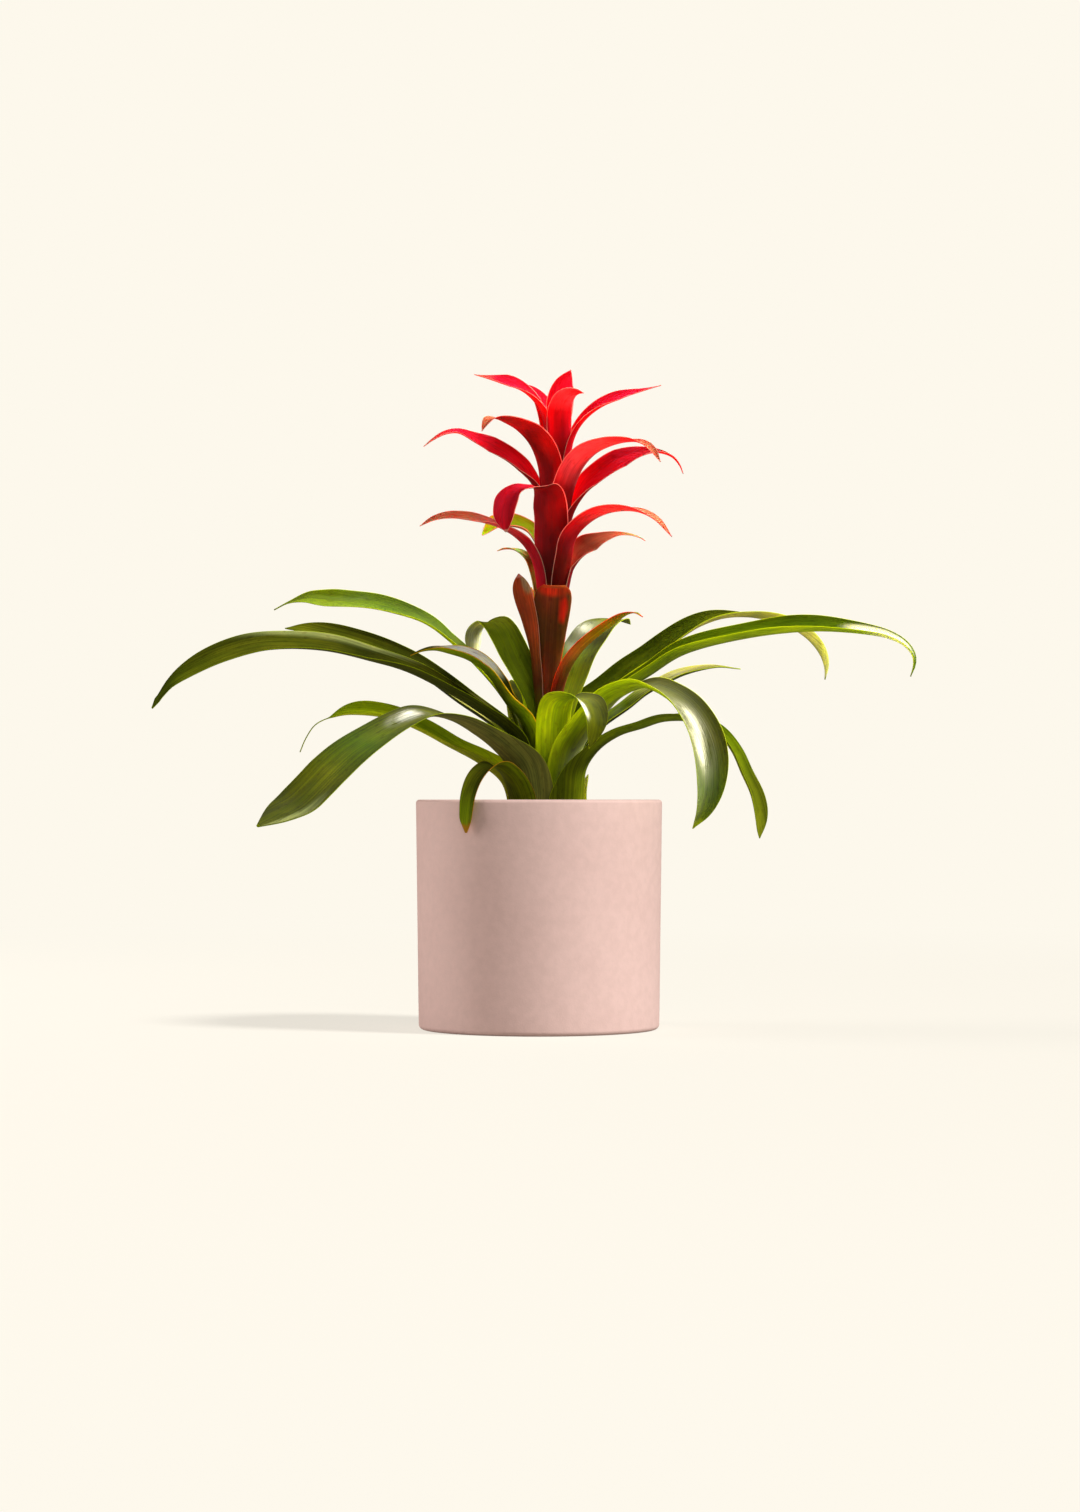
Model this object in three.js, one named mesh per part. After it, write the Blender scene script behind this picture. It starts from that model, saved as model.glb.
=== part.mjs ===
// Guzmania bromeliad in a pink cylindrical pot, in millimetres, +Z up.
// The origin is the middle of the pot's underside. +X is the plant's right, +Y its back.
import * as THREE from "three";

// Pot
const POT_HEIGHT = 163;
const RIM_RADIUS = 87.5;
const FOOT_RADIUS = 85.5;
const WALL = 5;
const FLOOR = 8;
const FOOT_ROUND = 3.5;
const RIM_ROUND = WALL / 2;
const POT_SIDES = 48;

// Potting mix
const MIX_TOP = 147;
const MIX_EDGE_DROP = 3;
const MIX_COLLAR = 12;
const MIX_ROUND = FOOT_ROUND + 1;
const GAP = 0.3;

// Stem: a crown that the leaves clasp, then the flower stalk
const AXIS_X = 5;
const LEAN = 0.033;
const STUB_FOOT = 108;
const STUB_RADIUS = 17;
const CROWN_TOP = 183;
const CROWN_SHOULDER = 3;
const STALK_RADIUS = 5;
const STALK_TIP = 424;
const STALK_TIP_RADIUS = 4.6;
const STALK_SIDES = 24;

// Each ring of leaves stands on a ledge of the crown: [radius, height]
const RINGS = {
  a: [29.5, 150],
  b: [27, 152],
  c: [24.5, 155],
  d: [22, 158.5],
  e: [19.5, 162],
  f: [17, 166],
  g: [14.5, 170],
  h: [12, 174.5],
};
const RING_STEP = 2.5;
const LEDGE_SETBACK = 0.6;

// Blades
const LEAF_THICKNESS = 0.8;
const BRACT_THICKNESS = 0.7;
const STATIONS = 96;
const LEAF_ROWS = 16;
const BRACT_ROWS = 12;
const COLUMNS = 4;
const TIP_HALF_WIDTH = 0.7;
const TIP_TROUGH = 16;
const TIP_FULLNESS = 2.8;
const TAPER_FROM = 0.5;
const CLASP_START = 0.15;
const RED_GRIP = 62;
const RED_CLASP = 45;
const BRACT_TROUGH = [66, 56, 38, 30];

// A blade's spine is a list of [out, up, side] points. "Out" is measured from the plant's axis
// in the direction of "turn", in degrees from +X. "Half" is the blade's half width and "grip" is
// the half angle, in degrees, by which its foot clasps the crown or the stalk. "Clasp" is the
// length over which it opens. It starts to narrow at "tapers" and ends in a thread over "tail",
// both shares of its length, unless "form" gives its relative widths as [share, width] pairs.
// "Trough" is half the angle of its curved section and "roll" its turn about its own spine,
// both in degrees, in even steps from the foot to the tip.
const LEAVES = {
  leaf_01: { ring: "a", turn: 234, grip: 24, half: 11, clasp: 40, trough: [44, 45, 35], roll: [0, 0],
    form: [[0, 1], [0.4, 1], [0.7, 0.7], [0.92, 0.52], [1, 0.08]],
    spine: [[30, 161], [37, 173], [49, 182], [61, 186], [73, 183], [83, 176], [90, 165], [93, 152],
      [94, 140]] },
  leaf_02: { ring: "a", turn: 24, grip: 17, half: 6, clasp: 20, trough: [20], roll: [0],
    spine: [[29.5, 160], [30.5, 172], [33, 181]] },
  leaf_03: { ring: "b", turn: 333, grip: 60, half: 12, clasp: 50, trough: [50, 45, 30],
    roll: [0, 8, 12, 18], tapers: 0.86,
    spine: [[27.5, 168], [30, 184], [40, 198, 1], [55, 208, 3], [71, 213, 6], [88, 218, 9], [110, 217, 13],
      [125, 210, 16], [137, 197, 17], [145, 181, 18], [152, 166, 19], [156, 150, 19], [157, 136, 19]] },
  leaf_04: { ring: "b", turn: 172, grip: 57, half: 15, clasp: 70, trough: [50, 35], tapers: 0.66,
    tail: 0.17, roll: [0, -15, -25],
    spine: [[27.5, 164], [32, 176], [48, 189], [70, 201], [92, 213], [114, 222], [142, 225], [154, 223],
      [168, 217], [175, 207], [179, 197]] },
  leaf_05: { ring: "b", turn: 84, grip: 29, half: 14, clasp: 60, trough: [45, 35], roll: [0],
    spine: [[27.5, 166], [31, 180], [44, 193], [70, 204], [104, 208], [140, 200], [168, 182], [182, 160]] },
  leaf_06: { ring: "c", turn: 218, grip: 66, half: 16.5, clasp: 75, trough: [55, 35, 20, 20],
    roll: [0, 0, -15, -28, -30], form: [[0, 1], [0.87, 1], [0.94, 0.66], [1, 0.06]],
    spine: [[25, 170], [29, 185], [42, 197], [62, 209], [84, 218], [108, 221], [130, 214], [150, 205],
      [168, 195], [185, 182], [199, 170], [212, 160], [227, 153], [245, 145]] },
  leaf_07: { ring: "c", turn: 91, grip: 32, half: 15, clasp: 60, trough: [45, 35], roll: [0],
    spine: [[25, 172], [28, 187], [42, 205], [70, 220], [108, 226], [150, 218], [188, 198], [214, 170],
      [224, 146]] },
  leaf_08: { ring: "c", turn: 22, grip: 25, half: 11.5, clasp: 55, trough: [45, 35], roll: [0, 10],
    spine: [[24.7, 182], [27.5, 198], [40, 213], [61, 228], [74, 238], [89, 246], [104, 253], [130, 259],
      [150, 258]] },
  leaf_09: { ring: "d", turn: 322, grip: 55, half: 18, clasp: 75, trough: [55, 45, 30],
    roll: [0, 0, 10, 10], tapers: 0.68,
    spine: [[22.5, 178], [26, 197], [34, 209], [46, 222], [57, 232], [70, 238], [85, 241], [100, 237],
      [115, 229], [126, 218], [134, 206], [139, 193], [141, 180], [140, 166], [136, 154], [128, 143]] },
  leaf_10: { ring: "d", turn: 152, grip: 52, half: 15, clasp: 70, trough: [50, 40],
    roll: [0, -10, -16, -22], tapers: 0.8,
    spine: [[22.5, 178], [27, 199], [38, 212], [72, 234], [111, 259], [135, 269], [176, 282], [210, 289],
      [223, 290]] },
  leaf_11: { ring: "d", turn: 74, grip: 20, half: 13, clasp: 60, trough: [45, 35], roll: [0],
    spine: [[22.5, 176], [25, 196], [38, 214], [64, 226], [92, 228], [118, 219], [136, 202]] },
  leaf_12: { ring: "e", turn: 186, grip: 58, half: 17, clasp: 75, trough: [55, 50, 32, 30],
    roll: [0, -5, -20, -28, -28],
    form: [[0, 1], [0.78, 1], [0.87, 0.86], [0.92, 0.6], [0.95, 0.25], [0.975, 0.3], [1, 0.05]],
    spine: [[20, 182], [22, 202], [30, 212], [46, 223], [65, 235], [99, 253], [127, 262], [161, 270],
      [204, 271], [230, 264], [253, 253], [267, 244], [273, 237], [280, 227]] },
  leaf_13: { ring: "e", turn: 357, grip: 62, half: 20, clasp: 58, trough: [50, 50, 40],
    roll: [0, 7, 16, 14], tapers: 0.58,
    spine: [[20, 182], [24, 203], [30, 215], [40, 227], [55, 240], [73, 252], [95, 266], [140, 278],
      [188, 283], [228, 280], [241, 277], [251, 272], [257, 265], [258, 258], [256, 250]] },
  leaf_14: { ring: "e", turn: 99, grip: 20, half: 14, clasp: 60, trough: [45, 35], roll: [0],
    spine: [[20, 182], [22, 206], [34, 226], [58, 239], [90, 246], [122, 244], [150, 234], [172, 215]] },
  leaf_15: { ring: "f", turn: 290, grip: 46, half: 14, clasp: 60, trough: [45, 35], roll: [0],
    spine: [[17, 184], [18.5, 196, -1], [21, 209, -2], [28, 222, -4], [37, 230, -5], [46, 233, -4],
      [58, 233, 1], [70, 230, 4], [80, 221, 5], [86, 212, 3], [90, 198, -2]] },
  leaf_16: { ring: "f", turn: 160, grip: 57, half: 14, clasp: 75, trough: [50, 47, 34, 30, 26],
    form: [[0, 1], [0.17, 1], [0.3, 0.76], [0.5, 0.9], [0.72, 1], [0.84, 0.8], [0.92, 0.38], [0.95, 0.06],
      [1, 0.04]],
    roll: [0, -4, -1, -1, -22, -38, -44],
    spine: [[17.5, 194], [24, 220], [37, 239], [57, 260], [78, 278], [95, 290], [116, 298], [139, 304],
      [178, 309], [190, 310], [205, 307], [216, 302]] },
  leaf_17: { ring: "f", turn: 38, grip: 46, half: 14, clasp: 60, trough: [50, 40],
    roll: [0, 0, 8, 8, 3, -5, -10],
    spine: [[17.5, 192], [20, 211], [25, 223], [37, 234], [56, 245], [76, 257], [94, 267], [113, 279],
      [135, 290], [159, 297], [183, 299], [203, 298], [223, 295], [242, 289], [256, 281], [264, 272],
      [267, 263], [266, 254]] },
  leaf_18: { ring: "g", turn: 200, grip: 62, half: 17, clasp: 60, trough: [60, 58, 35],
    roll: [0, 0, -10, -25, -22, -8, 0],
    spine: [[14.5, 192], [16.6, 209], [22, 221], [33, 233], [39, 242], [49, 254], [62, 262], [76, 266],
      [86, 268], [96, 267], [104, 264]] },
  leaf_19: { ring: "g", turn: 64, grip: 50, half: 17, clasp: 75, trough: [66, 52, 28, 20], roll: [0],
    spine: [[14.5, 192], [16.5, 207], [20, 221], [27, 234], [36, 247], [47, 263], [62, 275], [77, 286],
      [95, 293], [116, 296], [136, 294]] },
  leaf_20: { ring: "h", turn: 122, grip: 66, half: 14, clasp: 70, trough: [66, 58, 25, 20], tapers: 0.93,
    roll: [0],
    spine: [[11.8, 196], [12.6, 216], [17, 234, 2], [24, 249, 6], [35, 263, 8], [47, 277, 8], [58, 287, 8],
      [68, 292, 9], [74, 290, 12], [78, 285, 14], [79, 277, 14], [79, 270, 13]] },
};

const STALK_BRACTS = {
  stalk_bract_1: { turn: 310, grip: 55, half: 7, clasp: 50, roll: [0],
    spine: [[6, 197], [8.8, 214], [11, 232], [14.5, 246], [21, 257], [31, 267], [45, 276], [62, 284],
      [79, 291], [90, 292], [98, 289]] },
  stalk_bract_2: { turn: 205, grip: 54, half: 8, clasp: 50, roll: [0, 0, 0, 0, 20, 35, 35], tapers: 0.86,
    spine: [[6, 206], [8.5, 224], [11, 243], [13, 260], [15.5, 276], [18.5, 290], [22, 302], [24.5, 311],
      [26.5, 323]] },
  stalk_bract_3: { turn: 135, grip: 48, half: 8, clasp: 50, roll: [0],
    spine: [[6, 218], [8, 238], [10, 257], [11.5, 274], [13.5, 290], [17, 304], [21, 315]] },
  stalk_bract_4: { turn: 275, grip: 62, half: 16, clasp: 80, roll: [0], trough: [64, 62, 60, 56],
    form: [[0, 1], [0.88, 1], [0.96, 0.85], [1, 0.5]],
    spine: [[6, 228], [8, 246], [10, 264], [12, 282], [15, 297], [18, 308], [19.5, 314]] },
  stalk_bract_5: { turn: 35, grip: 52, half: 9, clasp: 50, roll: [0],
    spine: [[6, 238], [7.5, 254], [9, 268], [10.5, 282], [12, 296]] },
};

const RED_BRACTS = {
  red_bract_01: { turn: 145, half: 9, grip: 56, roll: [0],
    spine: [[6, 250], [8, 270], [10, 288], [12, 304], [15, 319], [20, 332], [26, 338], [34, 342], [43, 343],
      [49, 342]] },
  red_bract_02: { turn: 20, half: 13, roll: [0, 0, 0, 0, 42, 30, 20],
    form: [[0, 1], [0.55, 1], [0.67, 0.8], [0.75, 0.5], [0.85, 0.22], [1, 0.06]],
    spine: [[6, 258], [8, 278], [10, 297], [12, 315], [15, 328], [20, 338], [28, 345], [38, 350], [48, 353],
      [58, 353], [66, 351], [70, 349]] },
  red_bract_03: { turn: 192, half: 11, roll: [0, 0, 0, -25, -25],
    spine: [[6, 268], [8, 288], [10, 305], [11.5, 320], [15, 333], [21, 343], [29, 350], [38, 355],
      [49, 359], [63, 362], [76, 363], [87, 361], [97, 356]] },
  red_bract_04: { turn: 328, half: 12, roll: [0],
    spine: [[6, 278], [8, 298], [10.5, 317], [13.2, 334], [16, 348], [26, 358], [39, 364], [56, 366],
      [71, 364], [84, 358], [97, 346]] },
  red_bract_05: { turn: 95, half: 9, grip: 36, roll: [0],
    spine: [[6, 287], [8, 304], [10.5, 322], [14, 337], [23, 350], [38, 358], [54, 358], [68, 351]] },
  red_bract_06: { turn: 250, half: 14.5, grip: 58, roll: [0, 0, 0, 0, 0, -12, -33, -42, -60],
    form: [[0, 1], [0.52, 1], [0.6, 0.85], [0.68, 0.42], [0.76, 0.5], [0.84, 0.74], [0.93, 0.55], [1, 0.05]],
    spine: [[6, 296], [8, 315], [10, 333], [12.3, 348], [15, 360, 1], [18, 370, 1], [21, 378, 1], [25, 382],
      [31, 382, -2], [36, 382, -7], [41, 381, -12], [45, 377, -16], [48, 371, -18], [50, 362, -19],
      [51, 350, -17]] },
  red_bract_07: { turn: 138, half: 10, grip: 46, roll: [0, 0, 0, -35, -60], tapers: 0.92,
    spine: [[6, 305], [8, 322], [10, 337], [15.5, 347], [24, 355], [36, 360], [49, 362], [60, 360],
      [69, 359]] },
  red_bract_08: { turn: 8, half: 12, roll: [0, 0, 0, 35, 42, 15, 5],
    spine: [[6, 314], [8, 333], [10, 350], [13, 365], [17, 375], [23, 385], [32, 394], [44, 403], [58, 409],
      [72, 411], [83, 408], [89, 402], [92, 396]] },
  red_bract_09: { turn: 187, half: 11.5, roll: [0, 0, 0, -35, -42, -15, -10],
    spine: [[6, 323], [8, 342], [10, 359], [12, 374], [16, 386], [23, 395], [33, 404], [46, 412], [59, 418],
      [71, 423], [80, 422], [88, 418], [95, 413]] },
  red_bract_10: { turn: 318, half: 13.5, trough: [70, 56, 38, 30], roll: [0],
    spine: [[6, 332], [8, 350], [10, 367], [13, 383], [20, 397], [31, 406], [46, 411], [61, 413], [76, 412],
      [87, 407], [97, 397]] },
  red_bract_11: { turn: 75, half: 11, grip: 50, roll: [0],
    spine: [[6, 341], [8, 359], [10.5, 377], [15, 393], [25, 407], [40, 415], [56, 416], [70, 409]] },
  red_bract_12: { turn: 232, half: 13, roll: [0],
    spine: [[6, 350], [7.5, 367], [9.5, 383], [12, 398], [20, 411], [35, 421], [52, 426], [66, 428],
      [76, 427], [81, 423], [85, 418]] },
  red_bract_13: { turn: 120, half: 10, grip: 50, roll: [0],
    spine: [[6, 359], [7.5, 377], [9.5, 394], [14, 411], [25, 425], [41, 432], [56, 430]] },
  red_bract_14: { turn: 355, half: 10, roll: [0, 0, 15, 30, 8],
    spine: [[6, 368], [7.5, 386], [9.5, 402], [12, 419], [18, 431], [30, 442], [45, 449], [59, 453],
      [73, 457]] },
  red_bract_15: { turn: 285, half: 10, grip: 52, roll: [0],
    spine: [[6, 385], [7.5, 400], [9.5, 413], [12, 426, -1], [15, 437, -2], [19, 445, -1], [24, 449, 2],
      [28, 450, 6], [31, 449, 10]] },
  red_bract_16: { turn: 198, half: 11, grip: 36, roll: [0, 0, -20, -35, -12],
    spine: [[6, 394], [7, 408], [8.5, 420], [11, 433], [16, 443], [24, 451], [33, 456], [46, 459],
      [63, 463]] },
  red_bract_17: { turn: 136, half: 12, roll: [0],
    spine: [[6, 377], [7.5, 394], [9, 411], [11, 427], [15, 441], [21, 451], [28, 458], [36, 462]] },
  red_bract_18: { turn: 60, half: 12.5, grip: 52, roll: [0],
    spine: [[6, 402], [6.5, 418], [7.5, 434], [8, 447, 1], [10, 459, 1], [13, 470, -2]] },
};

const radians = THREE.MathUtils.degToRad;
const mix = THREE.MathUtils.lerp;
const smooth = THREE.MathUtils.smoothstep;

function axisX(z) {
  return AXIS_X + LEAN * Math.max(0, z - CROWN_TOP);
}

function solid(name, geometry, look) {
  const mesh = new THREE.Mesh(geometry, new THREE.MeshStandardMaterial({ metalness: 0, ...look }));
  mesh.name = name;
  return mesh;
}

// A turned form: [radius, height, centre's x] rows from the axis at the bottom, round to the axis
function turned(profile, sides) {
  const points = profile.map(([radius, height]) => new THREE.Vector2(radius, height));
  const geometry = new THREE.LatheGeometry(points, sides).rotateX(Math.PI / 2);
  const place = geometry.attributes.position;
  for (let i = 0; i < place.count; i += 1) {
    const [, , centreX = 0] = profile[i % profile.length];
    place.setX(i, place.getX(i) + centreX);
  }
  return geometry;
}

function arc(x, y, radius, from, to, steps) {
  return Array.from({ length: steps + 1 }, (_, i) => {
    const angle = radians(mix(from, to, i / steps));
    return [x + radius * Math.cos(angle), y + radius * Math.sin(angle)];
  });
}

function pot() {
  const profile = [
    [0, 0],
    ...arc(FOOT_RADIUS - FOOT_ROUND, FOOT_ROUND, FOOT_ROUND, -90, 0, 3),
    ...arc(RIM_RADIUS - RIM_ROUND, POT_HEIGHT - RIM_ROUND, RIM_ROUND, 0, 180, 6),
    ...arc(FOOT_RADIUS - WALL - FOOT_ROUND, FLOOR + FOOT_ROUND, FOOT_ROUND, 0, -90, 3),
    [0, FLOOR],
  ];
  return solid("pot", turned(profile, POT_SIDES), { color: 0xd9b3ae, roughness: 0.75 });
}

// Inner radius of the pot at a height
function potInside(z) {
  return mix(FOOT_RADIUS, RIM_RADIUS, z / POT_HEIGHT) - WALL;
}

// The mix fills the pot to below its rim, with a hole in its top for the stem's stub
function pottingMix() {
  const low = FLOOR + GAP;
  const mouth = RINGS.a[0] + RING_STEP / 2 + GAP;
  const profile = [
    [0, low],
    ...arc(potInside(low) - GAP - MIX_ROUND, low + MIX_ROUND, MIX_ROUND, -90, 0, 3),
    [potInside(MIX_TOP) - GAP, MIX_TOP - MIX_EDGE_DROP],
    [mouth + MIX_COLLAR, MIX_TOP],
    [mouth, MIX_TOP, AXIS_X],
    [STUB_RADIUS + GAP, STUB_FOOT - GAP, AXIS_X],
    [0, STUB_FOOT - GAP, AXIS_X],
  ];
  return solid("potting_mix", turned(profile, POT_SIDES), { color: 0x3b2a1f, roughness: 0.95 });
}

function stem() {
  const ledges = Object.values(RINGS).flatMap(([radius, height]) => [
    [radius + RING_STEP / 2 - LEDGE_SETBACK, height],
    [radius - RING_STEP / 2 - LEDGE_SETBACK, height],
  ]);
  const profile = [
    [0, STUB_FOOT],
    [STUB_RADIUS, STUB_FOOT],
    ...ledges,
    [RINGS.h[0] - RING_STEP / 2 - LEDGE_SETBACK, CROWN_TOP - CROWN_SHOULDER],
    [STALK_RADIUS, CROWN_TOP],
    [STALK_RADIUS, (CROWN_TOP + STALK_TIP) / 2],
    [STALK_TIP_RADIUS, STALK_TIP],
    [0, STALK_TIP + 2],
  ];
  const leaning = profile.map(([radius, height]) => [radius, height, axisX(height)]);
  return solid("stem", turned(leaning, STALK_SIDES), { color: 0x6d7a35, roughness: 0.6 });
}

// Stations along a spine, each with its place, its side vector and its upper normal
function stations(turn, spine) {
  const out = new THREE.Vector3(Math.cos(radians(turn)), Math.sin(radians(turn)), 0);
  const across = new THREE.Vector3(-out.y, out.x, 0);
  const knots = spine.map(([reach, up, side = 0]) =>
    new THREE.Vector3(axisX(up), 0, up).addScaledVector(out, reach).addScaledVector(across, side));
  const places = new THREE.CatmullRomCurve3(knots, false, "centripetal").getSpacedPoints(STATIONS);
  const side = across.clone();
  return places.map((place, i) => {
    const along = places[Math.min(i + 1, STATIONS)].clone().sub(places[Math.max(i - 1, 0)]).normalize();
    if (i === 0) {
      along.set(0, 0, 1);
    }
    side.addScaledVector(along, -side.dot(along)).normalize();
    return { place, side: side.clone(), normal: along.clone().cross(side) };
  });
}

// A trough-shaped blade: it clasps its carrier at the foot, opens to a strap and tapers to a point
function blade(name, shape, rows, thickness, look) {
  const { turn, spine, half, grip, clasp, trough, roll, tapers = TAPER_FROM, tail = 0, form } = shape;
  const line = stations(turn, spine);
  let length = 0;
  const reach = line.map(({ place }, i) => {
    length += i ? place.distanceTo(line[i - 1].place) : 0;
    return length;
  });
  const foot = spine[0][0] * radians(grip);
  const vertices = [];
  for (let row = 0; row <= rows; row += 1) {
    const at = Math.round((row * STATIONS) / rows);
    const share = reach[at] / length;
    const { place, side, normal } = rolled(line[at], radians(between(roll, share)));
    const opened = smooth(reach[at], clasp * CLASP_START, clasp);
    const taper = form ? along(form, share) : fullness((share - tapers) / (1 - tail - tapers));
    const width = Math.max(mix(foot, half, opened) * taper, TIP_HALF_WIDTH);
    const bend = radians(mix(mix(grip, between(trough, share), opened), TIP_TROUGH, 1 - taper));
    const radius = width / bend;
    for (const layer of [thickness / 2, -thickness / 2]) {
      for (let column = 0; column <= COLUMNS; column += 1) {
        const angle = mix(-bend, bend, column / COLUMNS);
        const r = radius - layer;
        vertices.push(place.clone()
          .addScaledVector(side, r * Math.sin(angle))
          .addScaledVector(normal, radius - r * Math.cos(angle)));
      }
    }
  }
  return solid(name, skin(vertices, rows), look);
}

// A station turned about its spine: a positive roll lifts the margin on the side vector's side
function rolled({ place, side, normal }, angle) {
  return {
    place,
    side: side.clone().multiplyScalar(Math.cos(angle)).addScaledVector(normal, Math.sin(angle)),
    normal: normal.clone().multiplyScalar(Math.cos(angle)).addScaledVector(side, -Math.sin(angle)),
  };
}

// The value at a share of the way through a list of evenly spaced values
function between(values, share) {
  const at = share * (values.length - 1);
  const low = Math.min(Math.floor(at), values.length - 1);
  return mix(values[low], values[Math.min(low + 1, values.length - 1)], at - low);
}

// The value at a share of the length, from a list of [share, value] pairs
function along(pairs, share) {
  const i = Math.max(1, pairs.findIndex(([at]) => at >= share));
  const [[start, low], [stop, high]] = pairs.slice(i - 1, i + 1);
  return mix(low, high, (share - start) / (stop - start));
}

// How full the blade still is, this share of the way from where it starts to taper to its tip
function fullness(beyond) {
  return beyond <= 0 ? 1 : Math.max(0, 1 - beyond ** TIP_FULLNESS);
}

// Joins the upper and lower sheets of a blade, split into triangles alike, and closes the edges
function skin(vertices, rows) {
  const perRow = 2 * (COLUMNS + 1);
  const upper = (row, column) => row * perRow + column;
  const lower = (row, column) => upper(row, column) + COLUMNS + 1;
  const faces = [];
  const quad = (a, b, c, d) => faces.push(a, b, c, a, c, d);
  for (let row = 0; row < rows; row += 1) {
    for (let column = 0; column < COLUMNS; column += 1) {
      const corners = [[row, column], [row, column + 1], [row + 1, column + 1], [row + 1, column]];
      const [a, b, c, d] = corners.map((corner) => upper(...corner));
      const [e, f, g, h] = corners.map((corner) => lower(...corner));
      faces.push(a, c, b, a, d, c);
      faces.push(e, f, g, e, g, h);
    }
    quad(upper(row, 0), lower(row, 0), lower(row + 1, 0), upper(row + 1, 0));
    quad(upper(row + 1, COLUMNS), lower(row + 1, COLUMNS), lower(row, COLUMNS), upper(row, COLUMNS));
  }
  for (let column = 0; column < COLUMNS; column += 1) {
    quad(upper(0, column), upper(0, column + 1), lower(0, column + 1), lower(0, column));
    quad(upper(rows, column + 1), upper(rows, column), lower(rows, column), lower(rows, column + 1));
  }
  const geometry = new THREE.BufferGeometry().setFromPoints(vertices);
  geometry.setIndex(faces);
  geometry.computeVertexNormals();
  return geometry;
}

const plant = new THREE.Group();
plant.add(pot(), pottingMix(), stem());
for (const [name, leaf] of Object.entries(LEAVES)) {
  const [radius, height] = RINGS[leaf.ring];
  const spine = [[radius, height + GAP], ...leaf.spine];
  plant.add(blade(name, { ...leaf, spine }, LEAF_ROWS, LEAF_THICKNESS,
    { color: 0x5d6b22, roughness: 0.4 }));
}
for (const [name, bract] of Object.entries(STALK_BRACTS)) {
  plant.add(blade(name, { trough: BRACT_TROUGH, ...bract }, BRACT_ROWS, BRACT_THICKNESS,
    { color: 0x7a3d26, roughness: 0.45 }));
}
for (const [name, bract] of Object.entries(RED_BRACTS)) {
  const shape = { grip: RED_GRIP, clasp: RED_CLASP, trough: BRACT_TROUGH, ...bract };
  plant.add(blade(name, shape, BRACT_ROWS, BRACT_THICKNESS, { color: 0xb5202c, roughness: 0.4 }));
}

export default plant;
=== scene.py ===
"""A guzmania in a pink pot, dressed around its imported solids: fine blades, a turned pot and a bark mix.

Shapes are worked out in millimetres, as in part.mjs, and turn into metres as they become meshes.
"""

import math
import random

import bmesh
import bpy
import numpy as np
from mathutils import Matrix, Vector, noise

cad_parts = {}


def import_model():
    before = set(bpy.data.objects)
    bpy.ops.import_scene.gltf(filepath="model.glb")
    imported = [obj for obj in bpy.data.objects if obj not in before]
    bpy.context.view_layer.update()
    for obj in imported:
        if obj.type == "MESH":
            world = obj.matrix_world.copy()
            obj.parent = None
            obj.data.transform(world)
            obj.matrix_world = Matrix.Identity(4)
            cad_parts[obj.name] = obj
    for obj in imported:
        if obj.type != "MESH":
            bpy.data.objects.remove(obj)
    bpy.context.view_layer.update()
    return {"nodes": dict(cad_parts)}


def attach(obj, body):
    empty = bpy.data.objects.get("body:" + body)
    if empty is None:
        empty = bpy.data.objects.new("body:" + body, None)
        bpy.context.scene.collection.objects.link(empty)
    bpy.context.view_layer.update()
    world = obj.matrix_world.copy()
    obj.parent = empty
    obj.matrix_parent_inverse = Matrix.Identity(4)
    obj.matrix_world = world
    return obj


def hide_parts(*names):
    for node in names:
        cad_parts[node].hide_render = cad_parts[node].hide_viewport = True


MM = 0.001

# Pot
POT_HEIGHT = 163
RIM_RADIUS = 87.5
FOOT_RADIUS = 85.5
WALL = 5
FLOOR = 8
FOOT_ROUND = 3.5
RIM_ROUND = WALL / 2
POT_SIDES = 192
WALL_STEPS = 12
ROUND_STEPS = 8

# Crown and flower stalk. A ring is the ledge of the crown that a leaf's foot stands on: [radius, height].
AXIS_X = 5
LEAN = 0.033
STUB_FOOT = 108
STUB_RADIUS = 17
CROWN_TOP = 183
RING_STEP = 2.5
RINGS = {
    "a": [29.5, 150], "b": [27, 152], "c": [24.5, 155], "d": [22, 158.5],
    "e": [19.5, 162], "f": [17, 166], "g": [14.5, 170], "h": [12, 174.5],
}

# Potting mix: a plug whose mouth fits the crown and whose top falls to the wall and carries the relief.
# Each line of the relief is a noise: its pitch, its height, its octaves and its slice.
GAP = 0.3
MIX_TOP = 147
MIX_EDGE_DROP = 3
MIX_COLLAR = 12
MIX_ROWS = 36
MIX_FOOT_INSET = 1
MOUTH = RINGS["a"][0] + RING_STEP / 2 + GAP
APRON = 6
EDGE_FADE = 2
RELIEF = [(14, 0.9, 5, 3.1), (3.5, 0.7, 4, 8.3)]
RELIEF_FALLOFF = 0.9
RELIEF_LACUNARITY = 2.1
CHIP_INSET = 7
CHIP_TILT = 0.35

# Blades
LEAF_THICKNESS = 0.8
BRACT_THICKNESS = 0.7
STATIONS = 96
COLUMNS = 16
CURVE_SAMPLES = 201
EASED_STEPS = 2
KEPT_STEPS = 3
MARGIN_THICKNESS = 0.45
TIP_HALF_WIDTH = 0.35
TIP_TROUGH = 16
TIP_FULLNESS = 2.8
TAPER_FROM = 0.5
CLASP_START = 0.15
LEAF_CLASP = 60
LEAF_TROUGH = [45, 35]
STALK_CLASP = 50
RED_CLASP = 45
RED_GRIP = 62
BRACT_TROUGH = [66, 56, 38, 30]
WAVE_HEIGHT = 0.5
WAVE_LENGTH = 13
WAVE_LAG = 2.4
WAVE_START = 60
GRAIN_SHIFT = 40
OVAL_CORE = 0.5

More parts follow.
